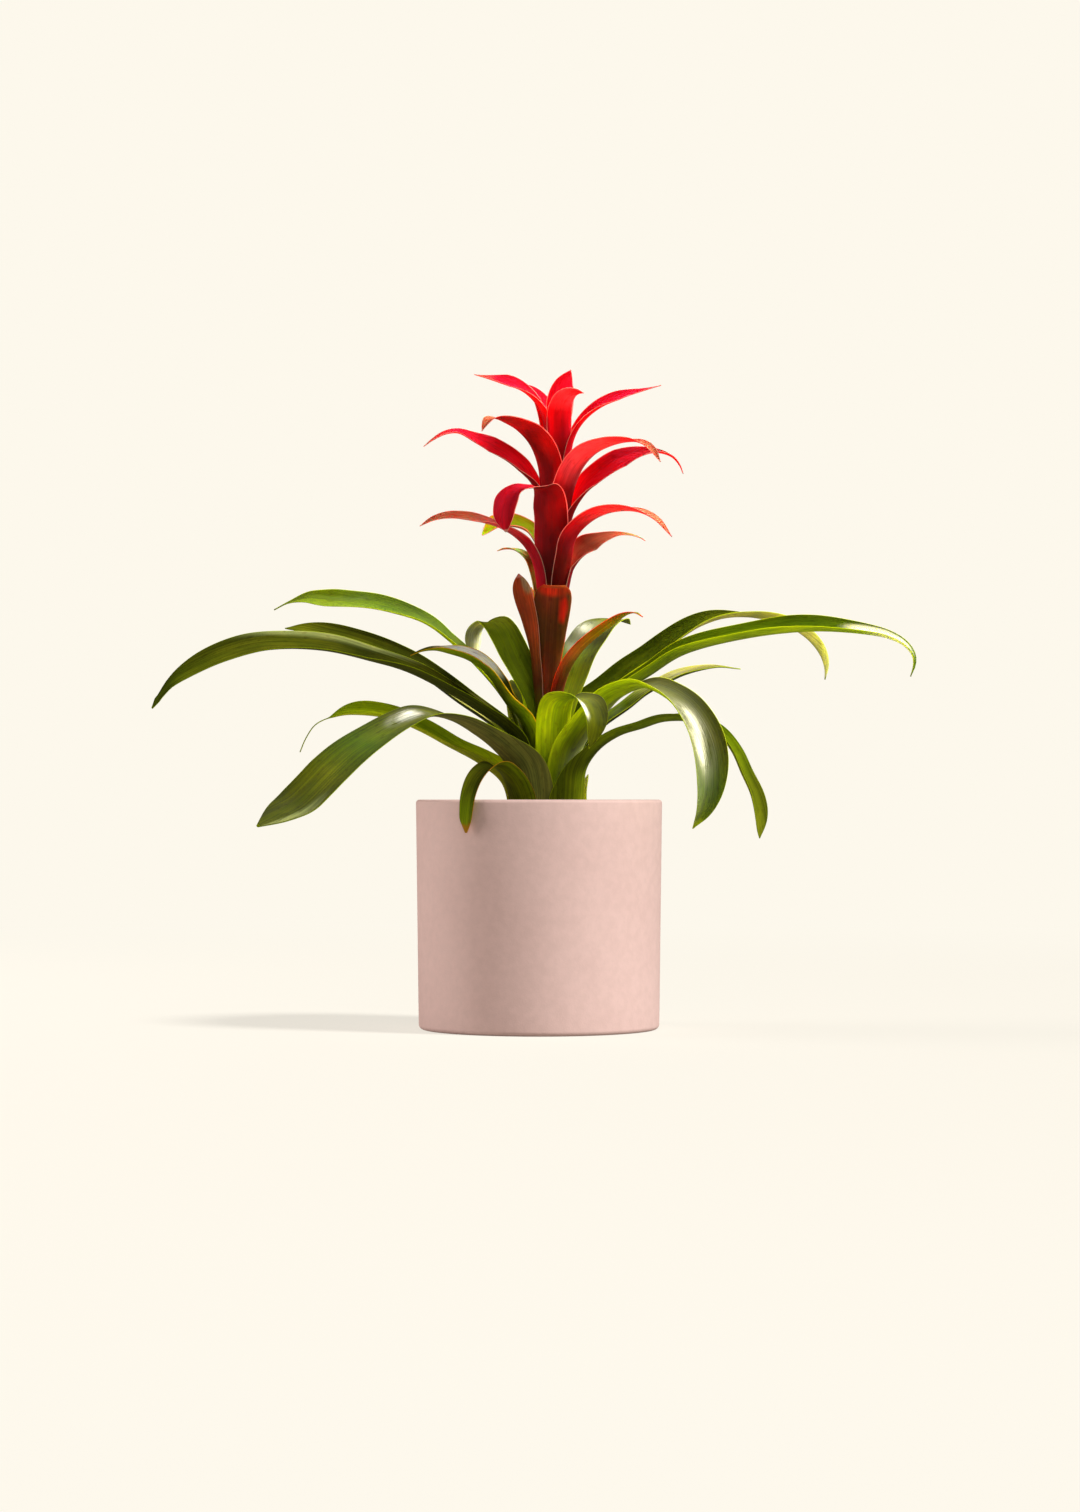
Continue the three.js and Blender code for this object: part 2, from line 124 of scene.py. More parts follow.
# A blade's spine is a list of [out, up, side] points. "Out" is measured from the plant's axis in the
# direction of "turn", in degrees from +X. "Half" is the blade's half width and "grip" is the half angle,
# in degrees, by which its foot clasps the crown or the stalk. "Clasp" is the length over which it opens.
# It starts to narrow at "tapers" and ends in a thread over "tail", shares of its length, or else "form"
# gives its relative widths as [share, width]. "Trough" is half the angle of its curved section and "roll"
# its turn about its own spine, both in degrees, in even steps from the foot to the tip; without "roll" it
# doesn't turn.
LEAVES = {
    "leaf_01": dict(
        ring="a", turn=234, grip=24, half=11, clasp=40, trough=[44, 45, 35], roll=[0, 0],
        form=[[0, 1], [0.4, 1], [0.7, 0.7], [0.92, 0.52], [1, 0.08]],
        spine=[[30, 161], [37, 173], [49, 182], [61, 186], [73, 183], [83, 176], [90, 165], [93, 152],
               [94, 140]]),
    "leaf_02": dict(
        ring="a", turn=24, grip=17, half=6, clasp=20, trough=[20],
        spine=[[29.5, 160], [30.5, 172], [33, 181]]),
    "leaf_03": dict(
        ring="b", turn=333, grip=60, half=12, clasp=50, trough=[50, 45, 30], roll=[0, 8, 12, 18],
        tapers=0.86,
        spine=[[27.5, 168], [30, 184], [40, 198, 1], [55, 208, 3], [71, 213, 6], [88, 218, 9],
               [110, 217, 13], [125, 210, 16], [137, 197, 17], [145, 181, 18], [152, 166, 19],
               [156, 150, 19], [157, 136, 19]]),
    "leaf_04": dict(
        ring="b", turn=172, grip=57, half=15, clasp=70, trough=[50, 35], tapers=0.66, tail=0.17,
        roll=[0, -15, -25],
        spine=[[27.5, 164], [32, 176], [48, 189], [70, 201], [92, 213], [114, 222], [142, 225],
               [154, 223], [168, 217], [175, 207], [179, 197]]),
    "leaf_05": dict(
        ring="b", turn=84, grip=29, half=14,
        spine=[[27.5, 166], [31, 180], [44, 193], [70, 204], [104, 208], [140, 200], [168, 182],
               [182, 160]]),
    "leaf_06": dict(
        ring="c", turn=218, grip=66, half=16.5, clasp=75, trough=[55, 35, 20, 20],
        roll=[0, 0, -15, -28, -30], form=[[0, 1], [0.87, 1], [0.94, 0.66], [1, 0.06]],
        spine=[[25, 170], [29, 185], [42, 197], [62, 209], [84, 218], [108, 221], [130, 214], [150, 205],
               [168, 195], [185, 182], [199, 170], [212, 160], [227, 153], [245, 145]]),
    "leaf_07": dict(
        ring="c", turn=91, grip=32, half=15,
        spine=[[25, 172], [28, 187], [42, 205], [70, 220], [108, 226], [150, 218], [188, 198], [214, 170],
               [224, 146]]),
    "leaf_08": dict(
        ring="c", turn=22, grip=25, half=11.5, clasp=55, roll=[0, 10],
        spine=[[24.7, 182], [27.5, 198], [40, 213], [61, 228], [74, 238], [89, 246], [104, 253],
               [130, 259], [150, 258]]),
    "leaf_09": dict(
        ring="d", turn=322, grip=55, half=18, clasp=75, trough=[55, 45, 30], roll=[0, 0, 10, 10],
        tapers=0.68,
        spine=[[22.5, 178], [26, 197], [34, 209], [46, 222], [57, 232], [70, 238], [85, 241], [100, 237],
               [115, 229], [126, 218], [134, 206], [139, 193], [141, 180], [140, 166], [136, 154],
               [128, 143]]),
    "leaf_10": dict(
        ring="d", turn=152, grip=52, half=15, clasp=70, trough=[50, 40], roll=[0, -10, -16, -22],
        tapers=0.8,
        spine=[[22.5, 178], [27, 199], [38, 212], [72, 234], [111, 259], [135, 269], [176, 282],
               [210, 289], [223, 290]]),
    "leaf_11": dict(
        ring="d", turn=74, grip=20, half=13,
        spine=[[22.5, 176], [25, 196], [38, 214], [64, 226], [92, 228], [118, 219], [136, 202]]),
    "leaf_12": dict(
        ring="e", turn=186, grip=58, half=17, clasp=75, trough=[55, 50, 32, 30],
        roll=[0, -5, -20, -28, -28],
        form=[[0, 1], [0.78, 1], [0.87, 0.86], [0.92, 0.6], [0.95, 0.25], [0.975, 0.3], [1, 0.05]],
        spine=[[20, 182], [22, 202], [30, 212], [46, 223], [65, 235], [99, 253], [127, 262], [161, 270],
               [204, 271], [230, 264], [253, 253], [267, 244], [273, 237], [280, 227]]),
    "leaf_13": dict(
        ring="e", turn=357, grip=62, half=20, clasp=58, trough=[50, 50, 40], roll=[0, 7, 16, 14],
        tapers=0.58,
        spine=[[20, 182], [24, 203], [30, 215], [40, 227], [55, 240], [73, 252], [95, 266], [140, 278],
               [188, 283], [228, 280], [241, 277], [251, 272], [257, 265], [258, 258], [256, 250]]),
    "leaf_14": dict(
        ring="e", turn=99, grip=20, half=14,
        spine=[[20, 182], [22, 206], [34, 226], [58, 239], [90, 246], [122, 244], [150, 234], [172, 215]]),
    "leaf_15": dict(
        ring="f", turn=290, grip=46, half=14,
        spine=[[17, 184], [18.5, 196, -1], [21, 209, -2], [28, 222, -4], [37, 230, -5], [46, 233, -4],
               [58, 233, 1], [70, 230, 4], [80, 221, 5], [86, 212, 3], [90, 198, -2]]),
    "leaf_16": dict(
        ring="f", turn=160, grip=57, half=14, clasp=75, trough=[50, 47, 34, 30, 26],
        form=[[0, 1], [0.17, 1], [0.3, 0.76], [0.5, 0.9], [0.72, 1], [0.84, 0.8], [0.92, 0.38],
              [0.95, 0.06], [1, 0.04]],
        roll=[0, -4, -1, -1, -22, -38, -44],
        spine=[[17.5, 194], [24, 220], [37, 239], [57, 260], [78, 278], [95, 290], [116, 298], [139, 304],
               [178, 309], [190, 310], [205, 307], [216, 302]]),
    "leaf_17": dict(
        ring="f", turn=38, grip=46, half=14, trough=[50, 40], roll=[0, 0, 8, 8, 3, -5, -10],
        spine=[[17.5, 192], [20, 211], [25, 223], [37, 234], [56, 245], [76, 257], [94, 267], [113, 279],
               [135, 290], [159, 297], [183, 299], [203, 298], [223, 295], [242, 289], [256, 281],
               [264, 272], [267, 263], [266, 254]]),
    "leaf_18": dict(
        ring="g", turn=200, grip=62, half=17, trough=[60, 58, 35], roll=[0, 0, -10, -25, -22, -8, 0],
        spine=[[14.5, 192], [16.6, 209], [22, 221], [33, 233], [39, 242], [49, 254], [62, 262], [76, 266],
               [86, 268], [96, 267], [104, 264]]),
    "leaf_19": dict(
        ring="g", turn=64, grip=50, half=17, clasp=75, trough=[66, 52, 28, 20],
        spine=[[14.5, 192], [16.5, 207], [20, 221], [27, 234], [36, 247], [47, 263], [62, 275], [77, 286],
               [95, 293], [116, 296], [136, 294]]),
    "leaf_20": dict(
        ring="h", turn=122, grip=66, half=14, clasp=70, trough=[66, 58, 25, 20], tapers=0.93,
        spine=[[11.8, 196], [12.6, 216], [17, 234, 2], [24, 249, 6], [35, 263, 8], [47, 277, 8],
               [58, 287, 8], [68, 292, 9], [74, 290, 12], [78, 285, 14], [79, 277, 14], [79, 270, 13]]),
}

STALK_BRACTS = {
    "stalk_bract_1": dict(
        turn=310, grip=55, half=7,
        spine=[[6, 197], [8.8, 214], [11, 232], [14.5, 246], [21, 257], [31, 267], [45, 276], [62, 284],
               [79, 291], [90, 292], [98, 289]]),
    "stalk_bract_2": dict(
        turn=205, grip=54, half=8, roll=[0, 0, 0, 0, 20, 35, 35], tapers=0.86,
        spine=[[6, 206], [8.5, 224], [11, 243], [13, 260], [15.5, 276], [18.5, 290], [22, 302],
               [24.5, 311], [26.5, 323]]),
    "stalk_bract_3": dict(
        turn=135, grip=48, half=8,
        spine=[[6, 218], [8, 238], [10, 257], [11.5, 274], [13.5, 290], [17, 304], [21, 315]]),
    "stalk_bract_4": dict(
        turn=275, grip=62, half=16, clasp=80, trough=[64, 62, 60, 56],
        form=[[0, 1], [0.88, 1], [0.96, 0.85], [1, 0.5]],
        spine=[[6, 228], [8, 246], [10, 264], [12, 282], [15, 297], [18, 308], [19.5, 314]]),
    "stalk_bract_5": dict(
        turn=35, grip=52, half=9,
        spine=[[6, 238], [7.5, 254], [9, 268], [10.5, 282], [12, 296]]),
}

RED_BRACTS = {
    "red_bract_01": dict(
        turn=145, half=9, grip=56,
        spine=[[6, 250], [8, 270], [10, 288], [12, 304], [15, 319], [20, 332], [26, 338], [34, 342],
               [43, 343], [49, 342]]),
    "red_bract_02": dict(
        turn=20, half=13, roll=[0, 0, 0, 0, 42, 30, 20],
        form=[[0, 1], [0.55, 1], [0.67, 0.8], [0.75, 0.5], [0.85, 0.22], [1, 0.06]],
        spine=[[6, 258], [8, 278], [10, 297], [12, 315], [15, 328], [20, 338], [28, 345], [38, 350],
               [48, 353], [58, 353], [66, 351], [70, 349]]),
    "red_bract_03": dict(
        turn=192, half=11, roll=[0, 0, 0, -25, -25],
        spine=[[6, 268], [8, 288], [10, 305], [11.5, 320], [15, 333], [21, 343], [29, 350], [38, 355],
               [49, 359], [63, 362], [76, 363], [87, 361], [97, 356]]),
    "red_bract_04": dict(
        turn=328, half=12,
        spine=[[6, 278], [8, 298], [10.5, 317], [13.2, 334], [16, 348], [26, 358], [39, 364], [56, 366],
               [71, 364], [84, 358], [97, 346]]),
    "red_bract_05": dict(
        turn=95, half=9, grip=36,
        spine=[[6, 287], [8, 304], [10.5, 322], [14, 337], [23, 350], [38, 358], [54, 358], [68, 351]]),
    "red_bract_06": dict(
        turn=250, half=14.5, grip=58, roll=[0, 0, 0, 0, 0, -12, -33, -42, -60],
        form=[[0, 1], [0.52, 1], [0.6, 0.85], [0.68, 0.42], [0.76, 0.5], [0.84, 0.74], [0.93, 0.55],
              [1, 0.05]],
        spine=[[6, 296], [8, 315], [10, 333], [12.3, 348], [15, 360, 1], [18, 370, 1], [21, 378, 1],
               [25, 382], [31, 382, -2], [36, 382, -7], [41, 381, -12], [45, 377, -16], [48, 371, -18],
               [50, 362, -19], [51, 350, -17]]),
    "red_bract_07": dict(
        turn=138, half=10, grip=46, roll=[0, 0, 0, -35, -60], tapers=0.92,
        spine=[[6, 305], [8, 322], [10, 337], [15.5, 347], [24, 355], [36, 360], [49, 362], [60, 360],
               [69, 359]]),
    "red_bract_08": dict(
        turn=8, half=12, roll=[0, 0, 0, 35, 42, 15, 5],
        spine=[[6, 314], [8, 333], [10, 350], [13, 365], [17, 375], [23, 385], [32, 394], [44, 403],
               [58, 409], [72, 411], [83, 408], [89, 402], [92, 396]]),
    "red_bract_09": dict(
        turn=187, half=11.5, roll=[0, 0, 0, -35, -42, -15, -10],
        spine=[[6, 323], [8, 342], [10, 359], [12, 374], [16, 386], [23, 395], [33, 404], [46, 412],
               [59, 418], [71, 423], [80, 422], [88, 418], [95, 413]]),
    "red_bract_10": dict(
        turn=318, half=13.5, trough=[70, 56, 38, 30],
        spine=[[6, 332], [8, 350], [10, 367], [13, 383], [20, 397], [31, 406], [46, 411], [61, 413],
               [76, 412], [87, 407], [97, 397]]),
    "red_bract_11": dict(
        turn=75, half=11, grip=50,
        spine=[[6, 341], [8, 359], [10.5, 377], [15, 393], [25, 407], [40, 415], [56, 416], [70, 409]]),
    "red_bract_12": dict(
        turn=232, half=13,
        spine=[[6, 350], [7.5, 367], [9.5, 383], [12, 398], [20, 411], [35, 421], [52, 426], [66, 428],
               [76, 427], [81, 423], [85, 418]]),
    "red_bract_13": dict(
        turn=120, half=10, grip=50,
        spine=[[6, 359], [7.5, 377], [9.5, 394], [14, 411], [25, 425], [41, 432], [56, 430]]),
    "red_bract_14": dict(
        turn=355, half=10, roll=[0, 0, 15, 30, 8],
        spine=[[6, 368], [7.5, 386], [9.5, 402], [12, 419], [18, 431], [30, 442], [45, 449], [59, 453],
               [73, 457]]),
    "red_bract_15": dict(
        turn=285, half=10, grip=52,
        spine=[[6, 385], [7.5, 400], [9.5, 413], [12, 426, -1], [15, 437, -2], [19, 445, -1],
               [24, 449, 2], [28, 450, 6], [31, 449, 10]]),
    "red_bract_16": dict(
        turn=198, half=11, grip=36, roll=[0, 0, -20, -35, -12],
        spine=[[6, 394], [7, 408], [8.5, 420], [11, 433], [16, 443], [24, 451], [33, 456], [46, 459],
               [63, 463]]),
    "red_bract_17": dict(
        turn=136, half=12,
        spine=[[6, 377], [7.5, 394], [9, 411], [11, 427], [15, 441], [21, 451], [28, 458], [36, 462]]),
    "red_bract_18": dict(
        turn=60, half=12.5, grip=52,
        spine=[[6, 402], [6.5, 418], [7.5, 434], [8, 447, 1], [10, 459, 1], [13, 470, -2]]),
}

# Colours, linear RGB
INK = (0.035, 0.042, 0.003)
PINE = (0.045, 0.065, 0.002)
MOSS = (0.055, 0.065, 0.003)
DARK_OLIVE = (0.08, 0.09, 0.004)
OLIVE = (0.12, 0.14, 0.004)
DEEP_GREEN = (0.08, 0.14, 0.003)
GREEN = (0.14, 0.20, 0.003)
FERN = (0.13, 0.21, 0.002)
FRESH = (0.22, 0.31, 0.003)
LIME = (0.36, 0.45, 0.004)
BRIGHT = (0.52, 0.62, 0.005)
SHEATH = (0.22, 0.22, 0.04)
STRAW = (0.40, 0.38, 0.09)
PALE = (0.75, 0.73, 0.20)
CREAM_GREEN = (0.80, 0.78, 0.42)
AMBER = (0.60, 0.27, 0.01)
UMBER = (0.10, 0.035, 0.006)
BROWN = (0.17, 0.045, 0.012)
SIENNA = (0.40, 0.09, 0.015)
TAN = (0.38, 0.28, 0.04)
RUST = (0.60, 0.09, 0.02)
MAROON = (0.16, 0.008, 0.005)
WINE = (0.20, 0.006, 0.008)
DEEP_RED = (0.34, 0.006, 0.015)
CRIMSON = (0.50, 0.007, 0.02)
RED = (0.78, 0.008, 0.03)
HOT = (0.95, 0.008, 0.02)
# Painted glow: the coral of light shining through a red bract.
CORAL_PAINTED_GLOW = (0.78, 0.13, 0.15)
BRICK = (0.50, 0.10, 0.05)
RUSSET = (0.22, 0.045, 0.02)
SALMON = (0.85, 0.30, 0.22)
SCARLET = (0.85, 0.03, 0.008)

POT_TONES = [(0.75, 0.523, 0.475), (0.78, 0.55, 0.50)]
STEM_TONES = [(0.14, 0.18, 0.03), (0.24, 0.28, 0.07)]
STEM_BLOTCH = (0.22, 0.10, 0.03)
CRUMBS = {
    "bark": dict(dark=(0.05, 0.022, 0.012), light=(0.20, 0.105, 0.055), scale=190),
    "perlite": dict(dark=(0.45, 0.43, 0.40), light=(0.72, 0.70, 0.66), scale=500),
    "peat": dict(dark=(0.018, 0.010, 0.006), light=(0.075, 0.045, 0.028), scale=260),
}

# A blade's skin: its roughness, how far red, green and blue light wanders in it, in millimetres, how
# much does, and how strongly its veins show. "Gloss" in a look smooths it by up to GLOSS_REACH.
SKINS = {
    "leaf_skin": dict(roughness=0.84, radius=(2.5, 2.5, 0.3), weight=0.8, streak=0.16),
    "old_leaf_skin": dict(roughness=0.84, radius=(2.5, 2.5, 0.3), weight=0.0, streak=0.26),
    "stalk_bract_skin": dict(roughness=0.74, radius=(3.0, 0.8, 0.2), weight=0.8, streak=0.2),
    "red_bract_skin": dict(roughness=0.78, radius=(5.0, 0.3, 0.4), weight=1.0, streak=0.12),
}
GLOSS_REACH = 0.58

# Noise scales: a blade's across it, along it and from blade to blade, and a stem's to the metre. Nearly
# all the values of a noise lie within SPREAD.
VEIN_SCALE = (1.1, 0.012, 1)
BLOTCH_SCALE = (0.12, 0.035, 1)
SPOT_SCALE = (0.4, 0.16, 1)
FIBRE_SCALE = (1500, 1500, 40)
SPREAD = (0.3, 0.7)

# Leaves too old and thick for light to shine through
OLD_LEAVES = ("leaf_01", "leaf_03", "leaf_06", "leaf_10", "leaf_12")

# A blade's colours: "upper" and "lower" are those of its two faces, in even steps from the foot to the
# tip, and "cross" is painted light and shade that brightens or darkens them from one margin to the other.
# "Trim" is the colour of its margins and tip, "edge" the margin's share of the half width and "end" the
# tip's share of the length. "Patches" are soft ovals of another colour or gloss on one face; some colour
# patches are painted highlights and painted sheen.
LEAF_LOOK = dict(
    upper=[OLIVE, OLIVE, OLIVE], lower=[SHEATH, OLIVE, OLIVE], trim=LIME, edge=0.012, end=0.006,
    cross=[1, 1], patches=[], gloss=0.0,
)
STALK_LOOK = dict(
    upper=[OLIVE, BROWN, SIENNA], lower=[OLIVE, BROWN, BROWN], trim=AMBER, edge=0.04, end=0.02,
    cross=[1, 1], patches=[], gloss=0.2,
)
RED_LOOK = dict(
    upper=[DARK_OLIVE, MAROON, CRIMSON, RED, RED, RED, DEEP_RED],
    lower=[DARK_OLIVE, MAROON, WINE, DEEP_RED, CRIMSON, RED, CRIMSON],
    trim=SALMON, edge=0.03, end=0.01, cross=[1, 1], patches=[], gloss=0.1,
)


def patch(at, size, face="upper", **change):
    """An oval on a blade's face: its middle and half size, in shares of the length and half width."""
    return dict(at=at, size=size, face=face, **change)


# Each "cross" below is painted light and shade from one margin of the blade to the other.
LOOKS = {
    "leaf_01": dict(
        upper=[OLIVE, OLIVE, DARK_OLIVE, MOSS, MOSS, OLIVE, FRESH, LIME],
        lower=[OLIVE, FRESH, LIME, BRIGHT], trim=AMBER, edge=0.003, end=0.05),
    "leaf_02": dict(upper=[CREAM_GREEN], lower=[CREAM_GREEN]),
    "leaf_03": dict(
        upper=[OLIVE, OLIVE, OLIVE, GREEN, FRESH, OLIVE, OLIVE], lower=[OLIVE, FRESH, FRESH, LIME]),
    "leaf_04": dict(
        upper=[BRIGHT, BRIGHT, LIME, FRESH, FRESH, LIME, FRESH, FRESH, GREEN], lower=[LIME, BRIGHT, LIME]),
    "leaf_06": dict(
        upper=[OLIVE, OLIVE, OLIVE, OLIVE, OLIVE, DEEP_GREEN, OLIVE, MOSS, MOSS], lower=[SHEATH],
        cross=[0.9, 1.25, 1.25, 0.9],
        # The pale colour patches are a painted highlight on the crest and painted sheen near the tip.
        patches=[patch((0.47, -0.3), (0.09, 0.7), gloss=1),
                 patch((0.462, -0.3), (0.05, 0.4), colour=(0.9, 0.88, 0.7)),
                 patch((0.9, 0.7), (0.12, 0.3), colour=(0.24, 0.27, 0.08))]),
    "leaf_08": dict(
        upper=[OLIVE, OLIVE, GREEN, FRESH, PALE, STRAW, OLIVE], lower=[OLIVE, OLIVE, LIME],
        cross=[0.4, 0.4, 0.5, 1.4], patches=[patch((0.6, 0.45), (0.2, 0.9), gloss=1)]),
    "leaf_09": dict(
        upper=[OLIVE, OLIVE, GREEN, OLIVE, DARK_OLIVE, MOSS, DARK_OLIVE, DEEP_GREEN, FRESH],
        lower=[FRESH, LIME, LIME, LIME, FRESH], end=0.03,
        patches=[patch((0.72, -0.1), (0.17, 0.8), gloss=1)]),
    "leaf_10": dict(
        upper=[MOSS, INK, MOSS, INK, INK, MOSS, DARK_OLIVE, OLIVE], lower=[SHEATH, OLIVE, OLIVE],
        cross=[1.2, 1.1, 0.8, 0.5], patches=[patch((0.34, 0.3), (0.09, 1.5), colour=STRAW)]),
    "leaf_12": dict(
        upper=[MOSS, INK, INK, DARK_OLIVE, INK, DARK_OLIVE, DARK_OLIVE, OLIVE, GREEN],
        lower=[MOSS, OLIVE, DARK_OLIVE], cross=[0.8, 1, 1, 0.9],
        # The pale patch on the lower margin is painted sheen.
        patches=[patch((0.58, -0.95), (0.22, 0.3), colour=(0.3, 0.33, 0.1))]),
    "leaf_13": dict(
        upper=[OLIVE, DEEP_GREEN, DEEP_GREEN, FERN, FERN, DEEP_GREEN, PINE, DEEP_GREEN],
        lower=[FRESH, FRESH, FRESH, LIME, LIME, LIME],
        # The pale patches at the tip are painted highlights, on both faces.
        patches=[patch((0.87, 0.5), (0.1, 0.45), colour=(0.85, 0.84, 0.5)),
                 patch((0.92, -0.8), (0.1, 0.5), face="lower", colour=(0.85, 0.84, 0.5))]),
    "leaf_14": dict(upper=[FRESH, FRESH, FRESH]),
    "leaf_15": dict(
        upper=[OLIVE, DARK_OLIVE, OLIVE], lower=[OLIVE, FRESH, BRIGHT, BRIGHT, FRESH, FRESH, OLIVE],
        cross=[0.8, 1, 1.2, 1],
        # The pale patch on the fold's edge is a painted highlight.
        patches=[patch((0.77, -0.6), (0.1, 0.5), gloss=1),
                 patch((0.79, -0.75), (0.09, 0.35), colour=(0.8, 0.78, 0.6))]),
    "leaf_16": dict(
        upper=[DARK_OLIVE, DARK_OLIVE, DARK_OLIVE, OLIVE, DEEP_GREEN, DEEP_GREEN, FERN, FRESH, LIME],
        lower=[LIME, LIME, PALE], patches=[patch((0.82, -0.6), (0.1, 0.6), gloss=0.8)]),
    "leaf_17": dict(
        upper=[DARK_OLIVE, PINE, PINE, PINE, PINE, DARK_OLIVE, FRESH, GREEN],
        lower=[OLIVE, OLIVE, STRAW, STRAW, STRAW, CREAM_GREEN], cross=[1.4, 1.1, 0.9, 0.5]),
    "leaf_18": dict(
        upper=[UMBER, UMBER, INK, INK, OLIVE], lower=[INK, MOSS, FRESH, OLIVE, FRESH, LIME, LIME],
        # The pale patch on the upper face is a painted highlight.
        trim=AMBER, edge=0.03, patches=[patch((0.7, -0.8), (0.2, 0.6), colour=(1.0, 0.95, 0.72))]),
    "leaf_19": dict(
        upper=[LIME, LIME, LIME, LIME, GREEN, MOSS, OLIVE, OLIVE, OLIVE], lower=[LIME, OLIVE, OLIVE],
        cross=[1.2, 1.2, 1.2, 0.7], patches=[patch((0.66, 0.5), (0.18, 0.8), gloss=0.9)]),
    "leaf_20": dict(
        upper=[PINE, PINE, PINE, PINE, PINE, PINE, DARK_OLIVE, PALE],
        lower=[OLIVE, OLIVE, STRAW, CREAM_GREEN, CREAM_GREEN], cross=[1, 1, 0.7, 0.5]),
    "stalk_bract_1": dict(
        lower=[UMBER, UMBER, BROWN, TAN, LIME, LIME, LIME], upper=[OLIVE, BROWN, TAN, OLIVE],
        trim=(0.8, 0.1, 0.01), edge=0.05, cross=[0.5, 1, 1.2, 1.2]),
    "stalk_bract_2": dict(
        lower=[OLIVE, OLIVE, BROWN, SIENNA, RUST, RUST, RUST], trim=SALMON, edge=0.05,
        patches=[patch((0.95, 0.7), (0.1, 0.6), face="lower", colour=(0.45, 0.3, 0.14))]),
    "stalk_bract_4": dict(
        lower=[UMBER, BROWN, UMBER, UMBER, BROWN], trim=SIENNA, edge=0.02, cross=[1.5, 1.1, 1, 1.2],
        patches=[patch((0.98, 0.05), (0.09, 1.3), face="lower", colour=(0.55, 0.045, 0.008)),
                 patch((0.8, 0.5), (0.14, 0.3), face="lower", colour=(0.8, 0.02, 0.006))]),
    "stalk_bract_5": dict(lower=[OLIVE, SIENNA, SCARLET], trim=SCARLET),
    "red_bract_01": dict(
        upper=[DARK_OLIVE, DARK_OLIVE, STRAW], lower=[DARK_OLIVE, DARK_OLIVE, STRAW], trim=STRAW),
    "red_bract_02": dict(
        upper=[DARK_OLIVE, CRIMSON, DEEP_RED, BRICK, RUSSET, BRICK, TAN],
        lower=[DARK_OLIVE, MAROON, DEEP_RED, BRICK, BRICK]),
    "red_bract_03": dict(
        lower=[DARK_OLIVE, MAROON, CRIMSON, RED, CORAL_PAINTED_GLOW, SALMON, RUSSET],
        upper=[MAROON, RED, CORAL_PAINTED_GLOW, BRICK, RUSSET]),
    "red_bract_04": dict(
        lower=[DARK_OLIVE, MAROON, MAROON, CRIMSON, CORAL_PAINTED_GLOW, CORAL_PAINTED_GLOW, BRICK],
        upper=[DARK_OLIVE, MAROON, RED, RED, BRICK, RUSSET], cross=[0.5, 1.3, 1.8, 1.5]),
    "red_bract_06": dict(
        upper=[DARK_OLIVE, MAROON, CRIMSON, CRIMSON],
        lower=[DARK_OLIVE, MAROON, WINE, WINE, DEEP_RED, CRIMSON, RED], cross=[1.4, 1.1, 0.55, 0.35]),
    "red_bract_07": dict(upper=[MAROON, OLIVE, LIME], lower=[MAROON, OLIVE, LIME]),
    "red_bract_08": dict(upper=[DARK_OLIVE, CRIMSON, HOT, HOT, HOT, CRIMSON, MAROON, RUSSET]),
    "red_bract_09": dict(upper=[DARK_OLIVE, RED, HOT, HOT, HOT, RED, RUSSET]),
    "red_bract_10": dict(
        lower=[DARK_OLIVE, MAROON, WINE, CORAL_PAINTED_GLOW, CORAL_PAINTED_GLOW, CRIMSON, BRICK],
        upper=[DARK_OLIVE, MAROON, RED, RED, CRIMSON, BRICK, RUSSET], cross=[1.2, 1.2, 0.8, 0.6]),
    "red_bract_12": dict(
        lower=[DARK_OLIVE, MAROON, WINE, MAROON, WINE, WINE, DEEP_RED], cross=[1.3, 1.5, 1.1, 0.45],
        upper=[DARK_OLIVE, CRIMSON, RED, CRIMSON, BRICK, RUSSET]),
    "red_bract_14": dict(lower=[MAROON, CRIMSON, HOT, HOT, RED]),
    "red_bract_15": dict(
        lower=[DARK_OLIVE, MAROON, WINE, DEEP_RED, DEEP_RED, CORAL_PAINTED_GLOW, RED], cross=[1.1, 0.8, 1.2, 1.7]),
    "red_bract_16": dict(
        lower=[DARK_OLIVE, MAROON, WINE, DEEP_RED, CRIMSON, RED, BRICK],
        upper=[DARK_OLIVE, MAROON, CRIMSON, CRIMSON, RED, RED, BRICK]),
}

# Studio: the background's cream, the dome's strength as light, and the floor's tones near the pot, which
# fade into the background between two distances, in metres.
CREAM = (0.982, 0.939, 0.839)
DOME = 0.12
FLOOR_TONE = (0.295, 0.285, 0.258)
FLOOR_GLOW = (0.69, 0.66, 0.59)
FLOOR_FADE = (0.7, 2.0)
FLOOR_HALF = 6.0

# The camera stands level, looks along +Y and frames the 1080x1512 photo
CAMERA_PLACE = (0.0007, -2.45, 0.163)
LENS = 82.0
SENSOR = 36
SHIFT = 0.0288

